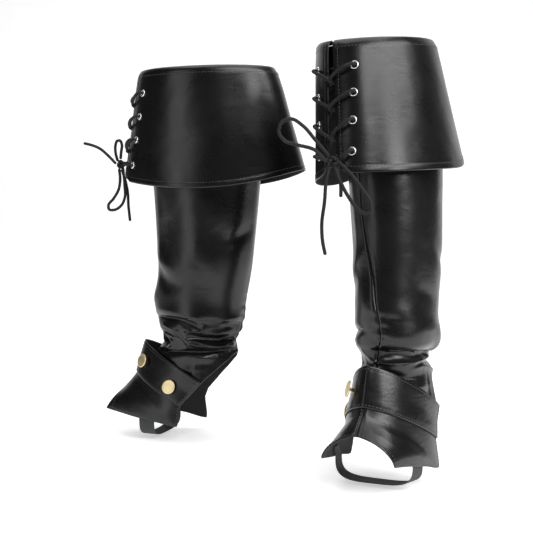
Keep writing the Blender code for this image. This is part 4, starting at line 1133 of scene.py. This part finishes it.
def makeStitching(prefix, leg, rows):
    places, aheads, outs = [], [], []
    for line, normals in rows:
        place, ahead, out = stitchesAlong(np.asarray(line), np.asarray(normals))
        places.append(toWorld(leg, place))
        aheads.append(turnOnly(leg, ahead))
        outs.append(turnOnly(leg, out))
    places, aheads, outs = (np.concatenate(values) for values in (places, aheads, outs))
    mesh = bpy.data.meshes.new(f"{prefix}Stitching")
    mesh.from_pydata(places.tolist(), [], [])
    for label, values in (("along", aheads), ("out", outs)):
        layer = mesh.attributes.new(label, "FLOAT_VECTOR", "POINT")
        layer.data.foreach_set("vector", values.astype(np.float32).ravel())
    source = bpy.data.objects.new(f"{prefix}StitchPoints", mesh)
    scene.collection.objects.link(source)
    rowsOn = source.modifiers.new("stitchRow", "NODES")
    rowsOn.node_group = rowTree
    for item in rowTree.interface.items_tree:
        if item.item_type == "SOCKET" and item.in_out == "INPUT" and item.name == "threadMaterial":
            rowsOn[item.identifier] = thread
    made = bpy.data.meshes.new_from_object(source.evaluated_get(bpy.context.evaluated_depsgraph_get()))
    made.name = f"{prefix}Stitching"
    bpy.data.objects.remove(source)
    made.shade_smooth()
    addPiece(f"{prefix}Stitching", made)
    print(prefix, "stitches", len(places))


def lineAt(grid, normals, distance, wanted):  # where a field on the grid takes a value, down each column
    points, outs = [], []
    for c in range(grid.shape[1]):
        field = distance[:, c] - wanted
        cross = np.nonzero(field[:-1] * field[1:] <= 0)[0]
        if len(cross):
            r = cross[-1]
            t = field[r] / (field[r] - field[r + 1] + 1e-12)
            points.append(grid[r, c] * (1 - t) + grid[r + 1, c] * t)
            outs.append(normals[r, c] * (1 - t) + normals[r + 1, c] * t)
    return np.array(points), np.array(outs)


def sideLine(grid, normals, edge, wanted, side):  # the same across each row, from one flap's edge
    half = grid.shape[1] // 2
    points, outs = [], []
    for r in range(grid.shape[0]):
        columns = np.array(range(half) if side > 0 else range(grid.shape[1] - 1, half, -1))
        c = int(np.searchsorted(edge[r, columns], wanted))
        if 0 < c < len(columns):
            a, b = columns[c - 1], columns[c]
            t = (wanted - edge[r, a]) / max(edge[r, b] - edge[r, a], 1e-9)
            points.append(grid[r, a] * (1 - t) + grid[r, b] * t)
            outs.append(normals[r, a] * (1 - t) + normals[r, b] * t)
    return np.array(points), np.array(outs)


def edgeRows(grid, inset, edges):  # rows of stitches inside a panel's own edges
    normals = turnedOut(gridNormals(grid), grid - instep)
    down = reachAlong(grid[:, grid.shape[1] // 2])
    rows = []
    for name in edges:
        if name in ("top", "bottom"):
            reach = down if name == "top" else down[-1] - down
            r = int(np.argmin(np.abs(reach - inset)))
            rows.append((grid[r], normals[r]))
        else:
            order = grid if name == "start" else grid[:, ::-1]
            outs = normals if name == "start" else normals[:, ::-1]
            width = np.cumsum(np.linalg.norm(np.diff(order, axis=1), axis=-1), axis=1)
            c = np.argmin(np.abs(width - inset), axis=1) + 1
            index = np.arange(len(order))
            rows.append((order[index, c], outs[index, c]))
    return rows


for prefix, leg in legs.items():
    makeTube(prefix, leg)
    cuffOuter, cuffNormals, cuffEdge, toHem, fromRim = makeCuff(prefix, leg)
    makeEyelets(prefix, leg)
    spats = makeSpat(prefix, leg)
    strapGrid = makeStrap(prefix, leg)
    makeButtons(prefix, leg)
    makeBand(prefix, leg)
    body = slice(cuff["rimRows"], None)
    rows = [lineAt(cuffOuter[body], cuffNormals[body], toHem[body], cuff["hemFold"]),
            lineAt(cuffOuter[body], cuffNormals[body], fromRim[body], 0.0100)]
    for side in (1, -1):
        rows.append(sideLine(cuffOuter[body], cuffNormals[body], cuffEdge[body], cuff["facing"], side))
    rows += edgeRows(strapGrid, 0.0035, ("top", "bottom", "start", "end"))
    rows += edgeRows(spats["Medial"], 0.0022, ("end",))
    rows += edgeRows(spats["Medial"], 0.0032, ("start", "bottom"))
    rows += edgeRows(spats["Lateral"], 0.0032, ("end", "bottom"))
    makeStitching(prefix, leg, rows)
print("pieces made")

# floor, backdrop and soft studio light
# the strength of the floor's and backdrop's painted glow, and the distances in front of the gaiters over which the
# floor is painted from white down to dark grey
studio = {"floor": -ankleHeight - 0.0004, "reach": 4.0, "back": 2.2, "bend": 1.4, "paintedGlow": 0.47, "world": 0.05,
          "paintedDimFrom": 0.42, "paintedDimTo": 1.10, "front": -2.6, "height": 4.0}


def makeStage():
    profile = [(studio["front"], 0.0), (studio["back"], 0.0)]
    for step in range(1, 13):
        turn = math.pi / 2 * step / 12
        profile.append((studio["back"] + studio["bend"] * math.sin(turn), studio["bend"] * (1 - math.cos(turn))))
    profile.append((studio["back"] + studio["bend"], studio["height"]))
    points, faces = [], []
    for y, z in profile:
        points += [(-studio["reach"], y, z + studio["floor"]), (studio["reach"], y, z + studio["floor"])]
    for k in range(len(profile) - 1):
        faces.append((2 * k, 2 * k + 1, 2 * k + 3, 2 * k + 2))
    mesh = bpy.data.meshes.new("studioFloor")
    mesh.from_pydata(points, [], faces)
    mesh.shade_smooth()
    shader = Shader("floorPaintedLightPool")
    place = shader.place()
    _, y, _ = shader.node("ShaderNodeSeparateXYZ", {}, {"Vector": place})
    # painted light: near the gaiters the floor is painted white and glows, and toward the front its colour and
    # glow fade to dark grey, a painted pool of light with painted shade in front
    paintedLightPool = ((y + studio["paintedDimTo"]) * (1 / (studio["paintedDimTo"] - studio["paintedDimFrom"]))).clamp()
    color = shader.mix(paintedLightPool, (0.10, 0.10, 0.10), (0.86, 0.86, 0.86))
    paintedGlow = shader.mix(paintedLightPool, (0.0, 0.0, 0.0), (1.0, 1.0, 1.0))
    mesh.materials.append(shader.finish(color=color, roughness=0.75, specular=0.2))
    shader.tree.links.new(paintedGlow.socket, shader.surface.inputs["Emission Color"])
    shader.surface.inputs["Emission Strength"].default_value = studio["paintedGlow"]
    floor = bpy.data.objects.new("studioFloor", mesh)
    scene.collection.objects.link(floor)


lights = (  # place, aim, size, watts
    ((1.02, -1.24, 1.95), (-0.05, 0.05, 0.20), (3.5, 0.8), 60.0),
    ((-1.45, -0.95, 0.50), (-0.20, 0.15, 0.30), (0.5, 1.2), 3.8),
    ((-0.15, 0.45, 2.40), (-0.15, 0.40, 0.0), (2.4, 2.4), 44.0),
    ((1.30, -1.30, 0.90), (-0.05, 0.05, 0.20), (0.8, 0.8), 20.0),
)
makeStage()
for number, (place, aim, size, watts) in enumerate(lights, 1):
    data = bpy.data.lights.new(f"softbox{number}", "AREA")
    data.shape, data.size, data.size_y, data.energy = "RECTANGLE", size[0], size[1], watts
    lamp = bpy.data.objects.new(f"softbox{number}", data)
    lamp.location = place
    lamp.rotation_euler = (Vector(aim) - Vector(place)).to_track_quat("-Z", "Y").to_euler()
    scene.collection.objects.link(lamp)
world = bpy.data.worlds.new("studio")
scene.world = world
world.use_nodes = True
world.node_tree.nodes["Background"].inputs[0].default_value = (1.0, 1.0, 1.0, 1.0)
world.node_tree.nodes["Background"].inputs[1].default_value = studio["world"]
scene.view_settings.view_transform = "Standard"
print("studio made")
